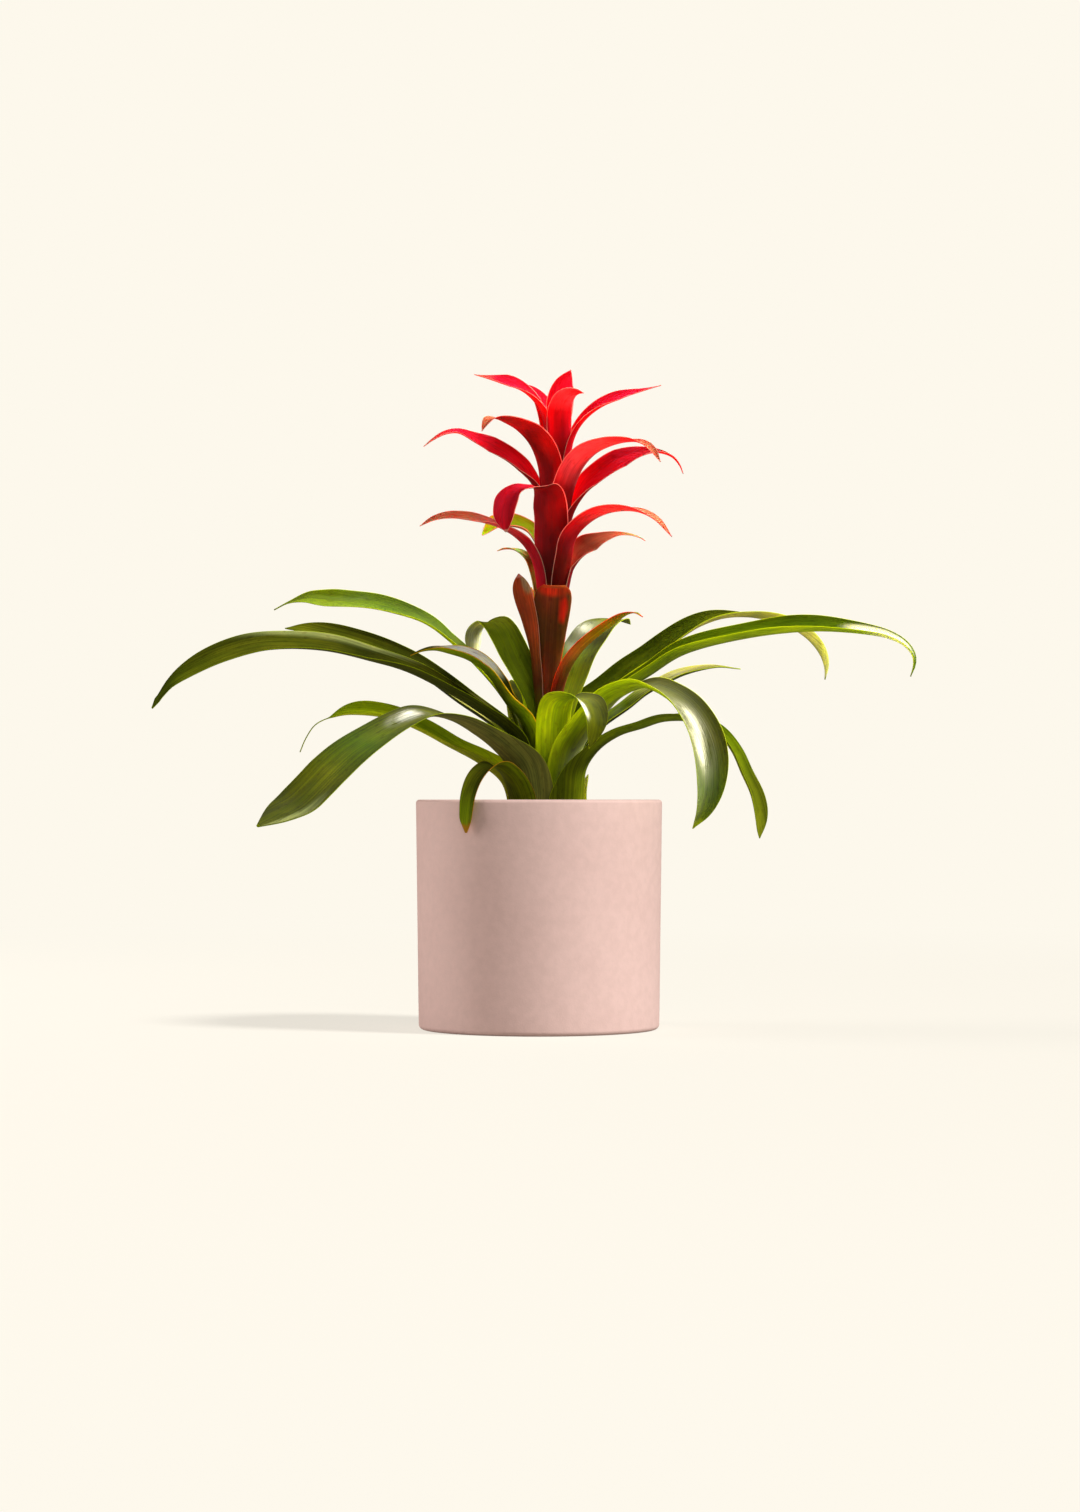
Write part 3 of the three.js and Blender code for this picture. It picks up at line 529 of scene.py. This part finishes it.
# Every lamp aims at one point. "Lights" names the pieces it lights and "shades" those that can block it,
# or else everything, and "part" is the only part of a surface's shading that it adds to. The pot is lit
# softly and the plant crisply, as in the photo, and glossy patches have a softbox and a tall window.
AIM = Vector((0, 0, 0.25))
CURLED = "leaf_09"
LAMPS = {
    "key": dict(
        kind="SUN", place=(1.30, -0.66, 1.45), size=math.radians(12), power=3.5,
        colour=(1.0, 0.985, 0.96), lights="ware", shades="pot",
    ),
    "side": dict(
        kind="AREA", place=(-2.9, 0.35, 0.9), size=1.6, power=58, colour=(1.0, 0.91, 0.88), lights="ware",
    ),
    "front": dict(
        kind="AREA", place=(0.2, -2.6, 0.4), size=1.2, power=12, colour=(1.0, 0.88, 0.86), lights="ware",
    ),
    "sun": dict(
        kind="SUN", place=(1.5, 0.55, 1.9), size=math.radians(24), power=8.5,
        colour=(1.0, 0.98, 0.94), lights="plant", part="diffuse",
    ),
    "fill": dict(
        kind="AREA", place=(0.6, -2.2, 1.2), size=0.8, power=16,
        colour=(1.0, 0.99, 0.97), lights="plant", part="diffuse",
    ),
    "left": dict(
        kind="SUN", place=(-1.5, 0.1, 1.6), size=math.radians(30), power=4.2,
        colour=(1.0, 0.98, 0.94), lights="flower", part="diffuse",
    ),
    "softbox": dict(
        kind="AREA", place=(0.28, 1.04, 2.28), size=0.55, power=45,
        colour=(1.0, 0.95, 0.78), lights="glossy", shades="pot", part="glossy",
    ),
    "window": dict(
        kind="AREA", place=(1.85, 0.72, 1.35), size=1.25, tall=2.0, power=400,
        colour=(1.0, 0.93, 0.64), lights="curled", shades="pot", part="glossy",
    ),
}


def mix(a, b, share):
    return a + (b - a) * share


def smooth(value, low, high):
    share = np.clip((value - low) / (high - low), 0, 1)
    return share * share * (3 - 2 * share)


def between(values, share):
    """The value at a share of the way through a list of evenly spaced values or colours."""
    values = np.array(values, dtype=float)
    if len(values) == 1:
        values = np.repeat(values, 2, axis=0)
    steps = np.linspace(0, 1, len(values))
    if values.ndim == 1:
        return np.interp(share, steps, values)
    return np.stack([np.interp(share, steps, channel) for channel in values.T], axis=-1)


def eased(values):
    """A list of widths with its corners rounded off and its last ones kept."""
    window = 2 * EASED_STEPS + 1
    rounded = np.convolve(np.pad(values, EASED_STEPS, mode="edge"), np.ones(window) / window, mode="valid")
    rounded[-KEPT_STEPS:] = values[-KEPT_STEPS:]
    return rounded


def axis_x(z):
    return AXIS_X + LEAN * max(0, z - CROWN_TOP)


def unit(vector):
    return vector / np.linalg.norm(vector)


def spline(knots, count):
    """Evenly spaced points on a centripetal Catmull-Rom curve through the knots."""
    ends = [2 * knots[0] - knots[1], *knots, 2 * knots[-1] - knots[-2]]
    last = len(knots) - 1

    def at(t):
        i = min(int(last * t), last - 1)
        w = last * t - i
        a, b, c, d = ends[i:i + 4]
        ab, bc, cd = (math.sqrt(np.linalg.norm(q - p)) for p, q in ((a, b), (b, c), (c, d)))
        start = ((b - a) / ab - (c - a) / (ab + bc) + (c - b) / bc) * bc
        stop = ((c - b) / bc - (d - b) / (bc + cd) + (d - c) / cd) * bc
        return b + w * start + w**2 * (3 * (c - b) - 2 * start - stop) + w**3 * (2 * (b - c) + start + stop)

    times = np.linspace(0, 1, CURVE_SAMPLES)
    points = np.array([at(t) for t in times])
    run = np.concatenate([[0], np.cumsum(np.linalg.norm(np.diff(points, axis=0), axis=1))])
    return np.array([at(t) for t in np.interp(np.linspace(0, run[-1], count + 1), run, times)])


def stations(turn, spine):
    """The places along a spine, each with its side vector and its upper normal."""
    angle = math.radians(turn)
    out = np.array([math.cos(angle), math.sin(angle), 0])
    across = np.array([-out[1], out[0], 0])
    knots = []
    for reach, up, *aside in spine:
        knots.append(np.array([axis_x(up), 0, up]) + reach * out + sum(aside) * across)
    places = spline(knots, STATIONS)
    sides = []
    normals = []
    side = across
    for i in range(STATIONS + 1):
        along = unit(places[min(i + 1, STATIONS)] - places[i - 1]) if i else np.array([0, 0, 1.0])
        side = unit(side - side.dot(along) * along)
        sides.append(side)
        normals.append(np.cross(along, side))
    return places, np.array(sides), np.array(normals)


def section(shape, share, reach):
    """A blade's half width, its half angle of trough and its taper at each station."""
    foot = shape["spine"][0][0] * math.radians(shape["grip"])
    opened = smooth(reach, shape["clasp"] * CLASP_START, shape["clasp"])
    if "form" in shape:
        taper = eased(np.interp(share, *zip(*shape["form"])))
    else:
        tapers = shape.get("tapers", TAPER_FROM)
        taper = 1 - np.clip((share - tapers) / (1 - shape.get("tail", 0) - tapers), 0, 1) ** TIP_FULLNESS
    width = np.maximum(mix(foot, shape["half"], opened) * taper, TIP_HALF_WIDTH)
    trough = mix(shape["grip"], between(shape["trough"], share), opened)
    return width, np.radians(mix(trough, TIP_TROUGH, 1 - taper)), taper


def blade(name, shape, thickness, look, material):
    """A trough-shaped blade: it clasps its carrier at the foot, opens to a strap and tapers to a point."""
    places, sides, normals = stations(shape["turn"], shape["spine"])
    reach = np.concatenate([[0], np.cumsum(np.linalg.norm(np.diff(places, axis=0), axis=1))])
    share = reach / reach[-1]
    roll = np.radians(between(shape.get("roll", [0]), share))[:, None]
    cos, sin = np.cos(roll), np.sin(roll)
    sides, normals = sides * cos + normals * sin, normals * cos - sides * sin
    width, bend, taper = section(shape, share, reach)
    radius = (width / bend)[:, None]
    columns = np.sin(np.linspace(-math.pi / 2, math.pi / 2, COLUMNS + 1))[None, :]
    angle = bend[:, None] * columns
    random.seed(name)
    phase = random.uniform(0, 2 * math.pi)
    free = smooth(reach, shape["clasp"], shape["clasp"] + WAVE_START)[:, None] * taper[:, None]
    swing = np.sin(reach[:, None] / WAVE_LENGTH + phase + WAVE_LAG * np.sign(columns))
    wave = free * WAVE_HEIGHT * columns**2 * swing
    slim = mix(MARGIN_THICKNESS, 1, np.sqrt(np.clip(1 - columns**2, 0, 1)))
    layers = []
    for face in (1, -1):
        r = radius - face * slim * thickness / 2
        rise = radius - r * np.cos(angle) + wave
        aside = r * np.sin(angle)
        offset = sides[:, None] * aside[..., None] + normals[:, None] * rise[..., None]
        layers.append(places[:, None] + offset)
    points = np.concatenate([layer.reshape(-1, 3) for layer in layers])
    piece = mesh_piece(name + "_blade", points * MM, sheet_faces(STATIONS, COLUMNS), material)
    paint(piece, look, share, reach, columns[0], width, phase)
    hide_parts(name)
    return piece


def sheet_faces(rows, columns):
    """The faces of an upper and a lower sheet and of the edges that close them."""
    step = columns + 1
    under = (rows + 1) * step
    faces = []
    for row in range(rows):
        for column in range(columns):
            low = row * step + column
            corners = [low, low + step, low + step + 1, low + 1]
            faces.append(corners)
            faces.append([under + corner for corner in reversed(corners)])
    last = rows * step
    edge = [*range(0, last, step), *range(last, last + columns), *range(last + columns, columns, -step),
            *range(columns, 0, -1)]
    for a, b in zip(edge, edge[1:] + edge[:1]):
        faces.append([a, under + a, under + b, b])
    return faces


def paint(piece, look, share, reach, columns, width, phase):
    """Writes a blade's colours, with their painted light and shade and painted highlights, its gloss and
    grain coordinates, in millimetres, to its points.
    """
    rows = len(share)
    across = np.abs(np.tile(columns, (rows, 1)))
    margin = smooth(across, 1 - 2 * look["edge"], 1)
    end = smooth(share, 1 - 2 * look["end"], 1)[:, None]
    worn = np.maximum(margin, end)
    tones = []
    shines = []
    for face in ("upper", "lower"):
        # Painted light and shade: the tones brighten or darken from one margin to the other.
        cross = between(look["cross"], (columns + 1) / 2)
        tone = between(look[face], share)[:, None] * cross[None, :, None]
        shine = np.full((rows, len(columns)), float(look["gloss"]))
        for patch in look["patches"]:
            if patch["face"] != face:
                continue
            strength = oval(patch, share, columns)
            # Some colour patches are painted highlights and painted sheen.
            if "colour" in patch:
                tone = mix(tone, np.array(patch["colour"]), strength[..., None])
            if "gloss" in patch:
                shine = mix(shine, patch["gloss"], strength)
        tones.append(tone.reshape(-1, 3))
        shines.append(shine.reshape(-1))
    grain = np.stack([
        np.tile(columns, (rows, 1)) * width[:, None],
        reach[:, None].repeat(len(columns), axis=1),
        np.full((rows, len(columns)), phase * GRAIN_SHIFT),
    ], axis=-1)
    count = rows * len(columns)
    write(piece, "tone", "FLOAT_COLOR", np.concatenate([opaque(tone) for tone in tones]))
    write(piece, "trim", "FLOAT_COLOR", opaque(np.tile(np.array(look["trim"]), (2 * count, 1))))
    write(piece, "worn", "FLOAT", np.concatenate([worn.reshape(-1)] * 2))
    write(piece, "gloss", "FLOAT", np.concatenate(shines))
    write(piece, "grain", "FLOAT_VECTOR", np.concatenate([grain.reshape(-1, 3)] * 2))


def oval(patch, share, columns):
    """How much a patch covers each point."""
    along = (share[:, None] - patch["at"][0]) / patch["size"][0]
    aside = (columns[None, :] - patch["at"][1]) / patch["size"][1]
    return 1 - smooth(np.hypot(along, aside), OVAL_CORE, 1)


def opaque(colours):
    return np.concatenate([colours, np.ones((len(colours), 1))], axis=1)


def write(piece, name, kind, values):
    field = {"FLOAT_COLOR": "color", "FLOAT_VECTOR": "vector", "FLOAT": "value"}[kind]
    attribute = piece.data.attributes.new(name, kind, "POINT")
    attribute.data.foreach_set(field, np.asarray(values, dtype=np.float32).ravel())


def added(name, data):
    """A new object of a mesh, a lamp or a camera, in the scene."""
    made = bpy.data.objects.new(name, data)
    bpy.context.collection.objects.link(made)
    return made


def mesh_piece(name, points, faces, material):
    mesh = bpy.data.meshes.new(name)
    mesh.from_pydata([tuple(point) for point in points], [], faces)
    mesh.materials.append(material)
    mesh.update()
    mesh.shade_smooth()
    piece = added(name, mesh)
    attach(piece, "root")
    return piece


def arc(x, y, radius, start, stop, steps):
    angles = [math.radians(mix(start, stop, i / steps)) for i in range(steps + 1)]
    return [(x + radius * math.cos(angle), y + radius * math.sin(angle)) for angle in angles]


def lathe(name, profile, material):
    """A turned solid: (radius, height) rows from the axis at the bottom, round to the axis."""
    sides = POT_SIDES
    points = [(0, 0, profile[0][1])]
    rings = profile[1:-1]
    for radius, height in rings:
        for i in range(sides):
            angle = 2 * math.pi * i / sides
            points.append((radius * math.cos(angle), radius * math.sin(angle), height))
    points.append((0, 0, profile[-1][1]))
    faces = []
    top = len(points) - 1
    for i in range(sides):
        j = (i + 1) % sides
        faces.append([0, 1 + j, 1 + i])
        for ring in range(len(rings) - 1):
            low = 1 + ring * sides
            faces.append([low + i, low + j, low + sides + j, low + sides + i])
        faces.append([top, top - sides + i, top - sides + j])
    return mesh_piece(name, np.array(points) * MM, faces, material)


def pot(material):
    wall = []
    for i in range(1, WALL_STEPS):
        height = mix(FOOT_ROUND, POT_HEIGHT - RIM_ROUND, i / WALL_STEPS)
        wall.append((mix(FOOT_RADIUS, RIM_RADIUS, height / POT_HEIGHT), height))
    profile = [
        (0, 0),
        *arc(FOOT_RADIUS - FOOT_ROUND, FOOT_ROUND, FOOT_ROUND, -90, 0, ROUND_STEPS),
        *wall,
        *arc(RIM_RADIUS - RIM_ROUND, POT_HEIGHT - RIM_ROUND, RIM_ROUND, 0, 180, 2 * ROUND_STEPS),
        *arc(FOOT_RADIUS - WALL - FOOT_ROUND, FLOOR + FOOT_ROUND, FOOT_ROUND, 0, -90, ROUND_STEPS),
        (0, FLOOR),
    ]
    piece = lathe("pot_body", profile, material)
    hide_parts("pot")
    return piece


def pot_inside(z):
    return mix(FOOT_RADIUS, RIM_RADIUS, z / POT_HEIGHT) - WALL


def relief(x, y):
    """The relief of the mix's surface, in millimetres."""
    total = 0
    for pitch, height, octaves, cut in RELIEF:
        place = Vector((x / pitch, y / pitch, cut))
        total += height * noise.fractal(place, RELIEF_FALLOFF, RELIEF_LACUNARITY, octaves)
    return total


def mix_height(radius):
    return MIX_TOP - MIX_EDGE_DROP * smooth(radius, MOUTH + MIX_COLLAR, pot_inside(MIX_TOP) - GAP)


def potting_mix(material):
    """The mix: a plug with a hole for the stem's stub and a crumbly top."""
    outer = pot_inside(MIX_TOP) - GAP
    low = FLOOR + GAP
    foot = pot_inside(low) - GAP - MIX_FOOT_INSET
    profile = [(0, low), (foot - FOOT_ROUND, low), (foot, low + FOOT_ROUND)]
    for i in range(MIX_ROWS + 1):
        radius = mix(outer, MOUTH, i / MIX_ROWS)
        profile.append((radius, mix_height(radius)))
    profile += [(STUB_RADIUS + GAP, STUB_FOOT - GAP), (0, STUB_FOOT - GAP)]
    piece = lathe("potting_mix_plug", profile, material)
    for vertex in piece.data.vertices:
        x, y, z = vertex.co / MM
        radius = math.hypot(x, y)
        if z > MIX_TOP - MIX_EDGE_DROP - 0.5:
            bare = smooth(radius, MOUTH, MOUTH + APRON) * smooth(outer - radius, 0, EDGE_FADE)
            vertex.co.z += relief(x, y) * bare * MM
        if z > STUB_FOOT - 1:
            vertex.co.x += AXIS_X * (1 - smooth(radius, MOUTH, MOUTH + MIX_COLLAR)) * MM
    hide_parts("potting_mix")
    return piece


def chips(name, count, sizes, corners, material):
    """Angular bits that lie on the mix, each the hull of a few points in a flattened ellipsoid."""
    random.seed(name)
    shape = bmesh.new()
    for _ in range(count):
        radius = math.sqrt(random.uniform((MOUTH + APRON) ** 2, (pot_inside(MIX_TOP) - CHIP_INSET) ** 2))
        angle = random.uniform(0, 2 * math.pi)
        spin = random.uniform(0, math.pi)
        tilt = random.uniform(-CHIP_TILT, CHIP_TILT)
        x, y = radius * math.cos(angle), radius * math.sin(angle)
        half = [random.uniform(*size) / 2 for size in sizes]
        place = Vector((x, y, mix_height(radius) + relief(x, y) + half[2] / 2))
        cos, sin = math.cos(spin), math.sin(spin)
        points = []
        for _ in range(corners):
            point = Vector((random.gauss(0, 1), random.gauss(0, 1), random.gauss(0, 1))).normalized()
            rise = point.z * half[2] + tilt * point.x * half[0] / 2
            point = Vector((point.x * half[0], point.y * half[1], rise))
            turned = Vector((point.x * cos - point.y * sin, point.x * sin + point.y * cos, point.z))
            points.append(shape.verts.new((place + turned) * MM))
        bmesh.ops.convex_hull(shape, input=points)
    loose = [vertex for vertex in shape.verts if not vertex.link_faces]
    bmesh.ops.delete(shape, geom=loose, context="VERTS")
    bmesh.ops.recalc_face_normals(shape, faces=shape.faces)
    mesh = bpy.data.meshes.new(name)
    shape.to_mesh(mesh)
    shape.free()
    mesh.materials.append(material)
    piece = added(name, mesh)
    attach(piece, "root")
    return piece


class Nodes:
    """A material's node tree, built a node at a time."""

    def __init__(self, name):
        self.material = bpy.data.materials.new(name)
        self.material.use_nodes = True
        self.tree = self.material.node_tree
        self.shader = self.tree.nodes["Principled BSDF"]

    def add(self, kind, inputs=None, **settings):
        node = self.tree.nodes.new("ShaderNode" + kind)
        for key, value in settings.items():
            setattr(node, key, value)
        for key, value in (inputs or {}).items():
            self.put(value, node.inputs[key])
        return node

    def put(self, value, socket):
        if isinstance(value, bpy.types.NodeSocket):
            self.tree.links.new(value, socket)
        else:
            socket.default_value = value

    def place(self):
        return self.add("TexCoord").outputs["Object"]

    def attribute(self, name, output):
        return self.add("Attribute", attribute_name=name).outputs[output]

    def noise(self, vector, scale, detail, roughness):
        """A noise at a scale, or at three where it is stretched."""
        if isinstance(scale, tuple):
            vector = self.add("Mapping", {"Vector": vector, "Scale": scale}).outputs["Vector"]
            scale = 1
        inputs = {"Vector": vector, "Scale": scale, "Detail": detail, "Roughness": roughness}
        return self.add("TexNoise", inputs).outputs["Fac"]

    def ranged(self, value, low, high, to_low=0.0, to_high=1.0):
        inputs = {"Value": value, "From Min": low, "From Max": high, "To Min": to_low, "To Max": to_high}
        return self.add("MapRange", inputs, interpolation_type="SMOOTHSTEP").outputs["Result"]

    def blend(self, factor, a, b, mode="MIX"):
        node = self.add("Mix", data_type="RGBA", blend_type=mode)
        self.put(factor, node.inputs["Factor"])
        for value, socket in ((a, node.inputs[6]), (b, node.inputs[7])):
            self.put((*value, 1) if isinstance(value, tuple) else value, socket)
        return node.outputs[2]

    def shaded(self, colour, factor, dark, light):
        """The colour times a tone that lies between a dark and a light one."""
        return self.blend(1.0, colour, self.blend(factor, dark, light), "MULTIPLY")

    def math(self, operation, a, b):
        node = self.add("Math", operation=operation)
        self.put(a, node.inputs[0])
        self.put(b, node.inputs[1])
        return node.outputs[0]

    def bump(self, height, distance, strength, normal=None):
        inputs = {"Height": height, "Distance": distance, "Strength": strength}
        if normal is not None:
            inputs["Normal"] = normal
        return self.add("Bump", inputs).outputs["Normal"]

    def finish(self, **inputs):
        for key, value in inputs.items():
            self.put(value, self.shader.inputs[key.replace("_", " ")])
        return self.material


def blade_material(name, roughness, radius, weight, streak):
    """A leaf's or bract's skin: fine lengthwise veins, faint blotches and spots, and worn margins."""
    nodes = Nodes(name)
    grain = nodes.attribute("grain", "Vector")
    veins = nodes.noise(grain, VEIN_SCALE, 2, 0.5)
    blotches = nodes.noise(grain, BLOTCH_SCALE, 3, 0.6)
    spots = nodes.noise(grain, SPOT_SCALE, 1, 0.5)
    tone = nodes.attribute("tone", "Color")
    tone = nodes.shaded(tone, nodes.ranged(veins, 0.35, 0.65), (1 - streak,) * 3, (1 + streak,) * 3)
    tone = nodes.shaded(tone, nodes.ranged(blotches, 0.35, 0.68), (0.80, 0.84, 0.82), (1.18, 1.12, 1.05))
    tone = nodes.shaded(tone, nodes.ranged(spots, 0.6, 0.75), (1, 1, 1), (0.78, 0.74, 0.7))
    ragged = nodes.math("MULTIPLY", spots, 0.5)
    worn = nodes.math("ADD", nodes.attribute("worn", "Fac"), ragged)
    tone = nodes.blend(nodes.ranged(worn, 0.5, 0.95), tone, nodes.attribute("trim", "Color"))
    shine = nodes.ranged(veins, *SPREAD, roughness - 0.06, roughness + 0.08)
    gloss = nodes.math("MULTIPLY", nodes.attribute("gloss", "Fac"), GLOSS_REACH)
    shine = nodes.math("SUBTRACT", shine, gloss)
    return nodes.finish(
        Base_Color=tone,
        Roughness=shine,
        Normal=nodes.bump(veins, 0.0002, 0.8),
        Subsurface_Weight=weight,
        Subsurface_Radius=radius,
        Subsurface_Scale=MM,
        Specular_IOR_Level=0.25,
    )


def pot_material():
    """Matte pink ceramic with a soft mottle and a fine tooth."""
    nodes = Nodes("pink_ceramic")
    place = nodes.place()
    clouds = nodes.noise(place, 14, 4, 0.6)
    specks = nodes.noise(place, 160, 3, 0.6)
    tooth = nodes.noise(place, 900, 2, 0.5)
    colour = nodes.blend(nodes.ranged(clouds, *SPREAD), *POT_TONES)
    colour = nodes.shaded(colour, nodes.ranged(specks, *SPREAD), (0.97, 0.965, 0.96), (1.03, 1.03, 1.03))
    return nodes.finish(
        Base_Color=colour,
        Roughness=nodes.ranged(specks, *SPREAD, 0.62, 0.76),
        Normal=nodes.bump(tooth, 0.0002, 0.3, nodes.bump(specks, 0.0004, 0.25)),
    )


def crumb_material(name):
    """Bark, peat or perlite: a broken grain with pores."""
    crumb = CRUMBS[name]
    nodes = Nodes(name)
    place = nodes.place()
    grain = nodes.noise(place, crumb["scale"], 5, 0.7)
    pores = nodes.noise(place, crumb["scale"] * 4, 2, 0.6)
    return nodes.finish(
        Base_Color=nodes.blend(nodes.ranged(grain, *SPREAD), crumb["dark"], crumb["light"]),
        Roughness=nodes.ranged(pores, *SPREAD, 0.75, 0.95),
        Normal=nodes.bump(pores, 0.0006, 0.5, nodes.bump(grain, 0.002, 0.6)),
    )


def stem_material():
    """The pale green crown and stalk, with fine lengthwise fibres and brown blotches."""
    nodes = Nodes("stem_skin")
    place = nodes.place()
    fibres = nodes.noise(place, FIBRE_SCALE, 3, 0.6)
    blotches = nodes.noise(place, 60, 3, 0.6)
    colour = nodes.blend(nodes.ranged(fibres, *SPREAD), *STEM_TONES)
    return nodes.finish(
        Base_Color=nodes.blend(nodes.ranged(blotches, 0.5, 0.75, 0, 0.6), colour, STEM_BLOTCH),
        Roughness=nodes.ranged(blotches, *SPREAD, 0.45, 0.65),
        Normal=nodes.bump(fibres, 0.0004, 0.5),
    )


def plant():
    """Every leaf and bract over its CAD node."""
    skins = {name: blade_material(name, **skin) for name, skin in SKINS.items()}
    blades = []
    for name, shape in LEAVES.items():
        radius, height = RINGS[shape["ring"]]
        spine = [[radius, height + GAP], *shape["spine"]]
        shape = {"clasp": LEAF_CLASP, "trough": LEAF_TROUGH, **shape, "spine": spine}
        skin = skins["old_leaf_skin" if name in OLD_LEAVES else "leaf_skin"]
        blades.append(blade(name, shape, LEAF_THICKNESS, {**LEAF_LOOK, **LOOKS.get(name, {})}, skin))
    for name, shape in STALK_BRACTS.items():
        shape = {"clasp": STALK_CLASP, "trough": BRACT_TROUGH, **shape}
        look = {**STALK_LOOK, **LOOKS.get(name, {})}
        blades.append(blade(name, shape, BRACT_THICKNESS, look, skins["stalk_bract_skin"]))
    for name, shape in RED_BRACTS.items():
        shape = {"grip": RED_GRIP, "clasp": RED_CLASP, "trough": BRACT_TROUGH, **shape}
        look = {**RED_LOOK, **LOOKS.get(name, {})}
        blades.append(blade(name, shape, BRACT_THICKNESS, look, skins["red_bract_skin"]))
    return blades


def floor():
    """A pale floor that fades into the background's own colour."""
    nodes = Nodes("pale_floor")
    away = nodes.add("VectorMath", {0: nodes.place()}, operation="LENGTH").outputs["Value"]
    near = nodes.ranged(away, *FLOOR_FADE, 1.0, 0.0)
    seen = nodes.add("LightPath").outputs["Is Camera Ray"]
    material = nodes.finish(
        Base_Color=nodes.blend(near, (0, 0, 0), FLOOR_TONE),
        Roughness=1.0,
        Specular_IOR_Level=0.0,
        Emission_Color=nodes.blend(near, CREAM, FLOOR_GLOW),
        Emission_Strength=nodes.ranged(seen, 0, 1, DOME, 1.0),
    )
    half = FLOOR_HALF
    corners = [(-half, -half, 0), (half, -half, 0), (half, half, 0), (-half, half, 0)]
    mesh = bpy.data.meshes.new("floor")
    mesh.from_pydata(corners, [], [[0, 1, 2, 3]])
    mesh.materials.append(material)
    piece = added("floor", mesh)
    return piece


def world():
    """The background's cream for the camera and a soft, dimmer dome for the light."""
    dome = bpy.data.worlds.new("studio")
    dome.use_nodes = True
    tree = dome.node_tree
    background = tree.nodes["Background"]
    background.inputs["Color"].default_value = (*CREAM, 1)
    path = tree.nodes.new("ShaderNodeLightPath")
    strength = tree.nodes.new("ShaderNodeMapRange")
    strength.inputs["To Min"].default_value = DOME
    strength.inputs["To Max"].default_value = 1.0
    tree.links.new(path.outputs["Is Camera Ray"], strength.inputs["Value"])
    tree.links.new(strength.outputs["Result"], background.inputs["Strength"])
    dome.cycles_visibility.glossy = False
    bpy.context.scene.world = dome


def group(name, members):
    """A collection that a lamp can be told to light, or to be shaded by."""
    made = bpy.data.collections.new(name)
    for member in members:
        made.objects.link(member)
    return made


def glossy(name):
    return any("gloss" in patch for patch in LOOKS.get(name, {}).get("patches", []))


def lamps(ware, blades):
    """The lamps, each linked to what it lights. The pot is the first piece of the ware."""
    named = {piece.name.removesuffix("_blade"): piece for piece in blades}
    groups = {
        "ware": group("ware", ware),
        "plant": group("plant", blades),
        "flower": group("flower", [piece for name, piece in named.items() if name.startswith("red")]),
        "glossy": group("glossy", [piece for name, piece in named.items() if glossy(name)]),
        "curled": group("curled", [named[CURLED]]),
        "pot": group("shades", ware[:1]),
    }
    for name, lamp in LAMPS.items():
        data = bpy.data.lights.new(name, lamp["kind"])
        if lamp["kind"] == "SUN":
            data.angle = lamp["size"]
        else:
            data.shape = "RECTANGLE"
            data.size = lamp["size"]
            data.size_y = lamp.get("tall", lamp["size"])
        data.energy = lamp["power"]
        data.color = lamp["colour"]
        light = added(name, data)
        light.location = lamp["place"]
        light.rotation_euler = (AIM - light.location).to_track_quat("-Z", "Y").to_euler()
        light.visible_glossy = lamp.get("part") != "diffuse"
        light.visible_diffuse = lamp.get("part") != "glossy"
        light.light_linking.receiver_collection = groups[lamp["lights"]]
        if "shades" in lamp:
            light.light_linking.blocker_collection = groups[lamp["shades"]]


def camera():
    data = bpy.data.cameras.new("camera")
    data.lens = LENS
    data.sensor_width = SENSOR
    data.shift_y = SHIFT
    seat = added("camera", data)
    seat.location = CAMERA_PLACE
    seat.rotation_euler = (math.pi / 2, 0, 0)
    bpy.context.scene.camera = seat


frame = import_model()
bpy.context.scene.view_settings.view_transform = "Standard"
bpy.context.scene.view_settings.look = "None"
camera()
world()
bark = crumb_material("bark")
perlite = crumb_material("perlite")
ware = [
    pot(pot_material()),
    potting_mix(crumb_material("peat")),
    chips("bark_chips", 260, [(6, 15), (4, 9), (1.5, 3.5)], 14, bark),
    chips("perlite_grains", 110, [(1.6, 3.2)] * 3, 12, perlite),
    floor(),
]
stem = frame["nodes"]["stem"]
stem.material_slots[0].material = stem_material()
lamps(ware, [*plant(), stem])
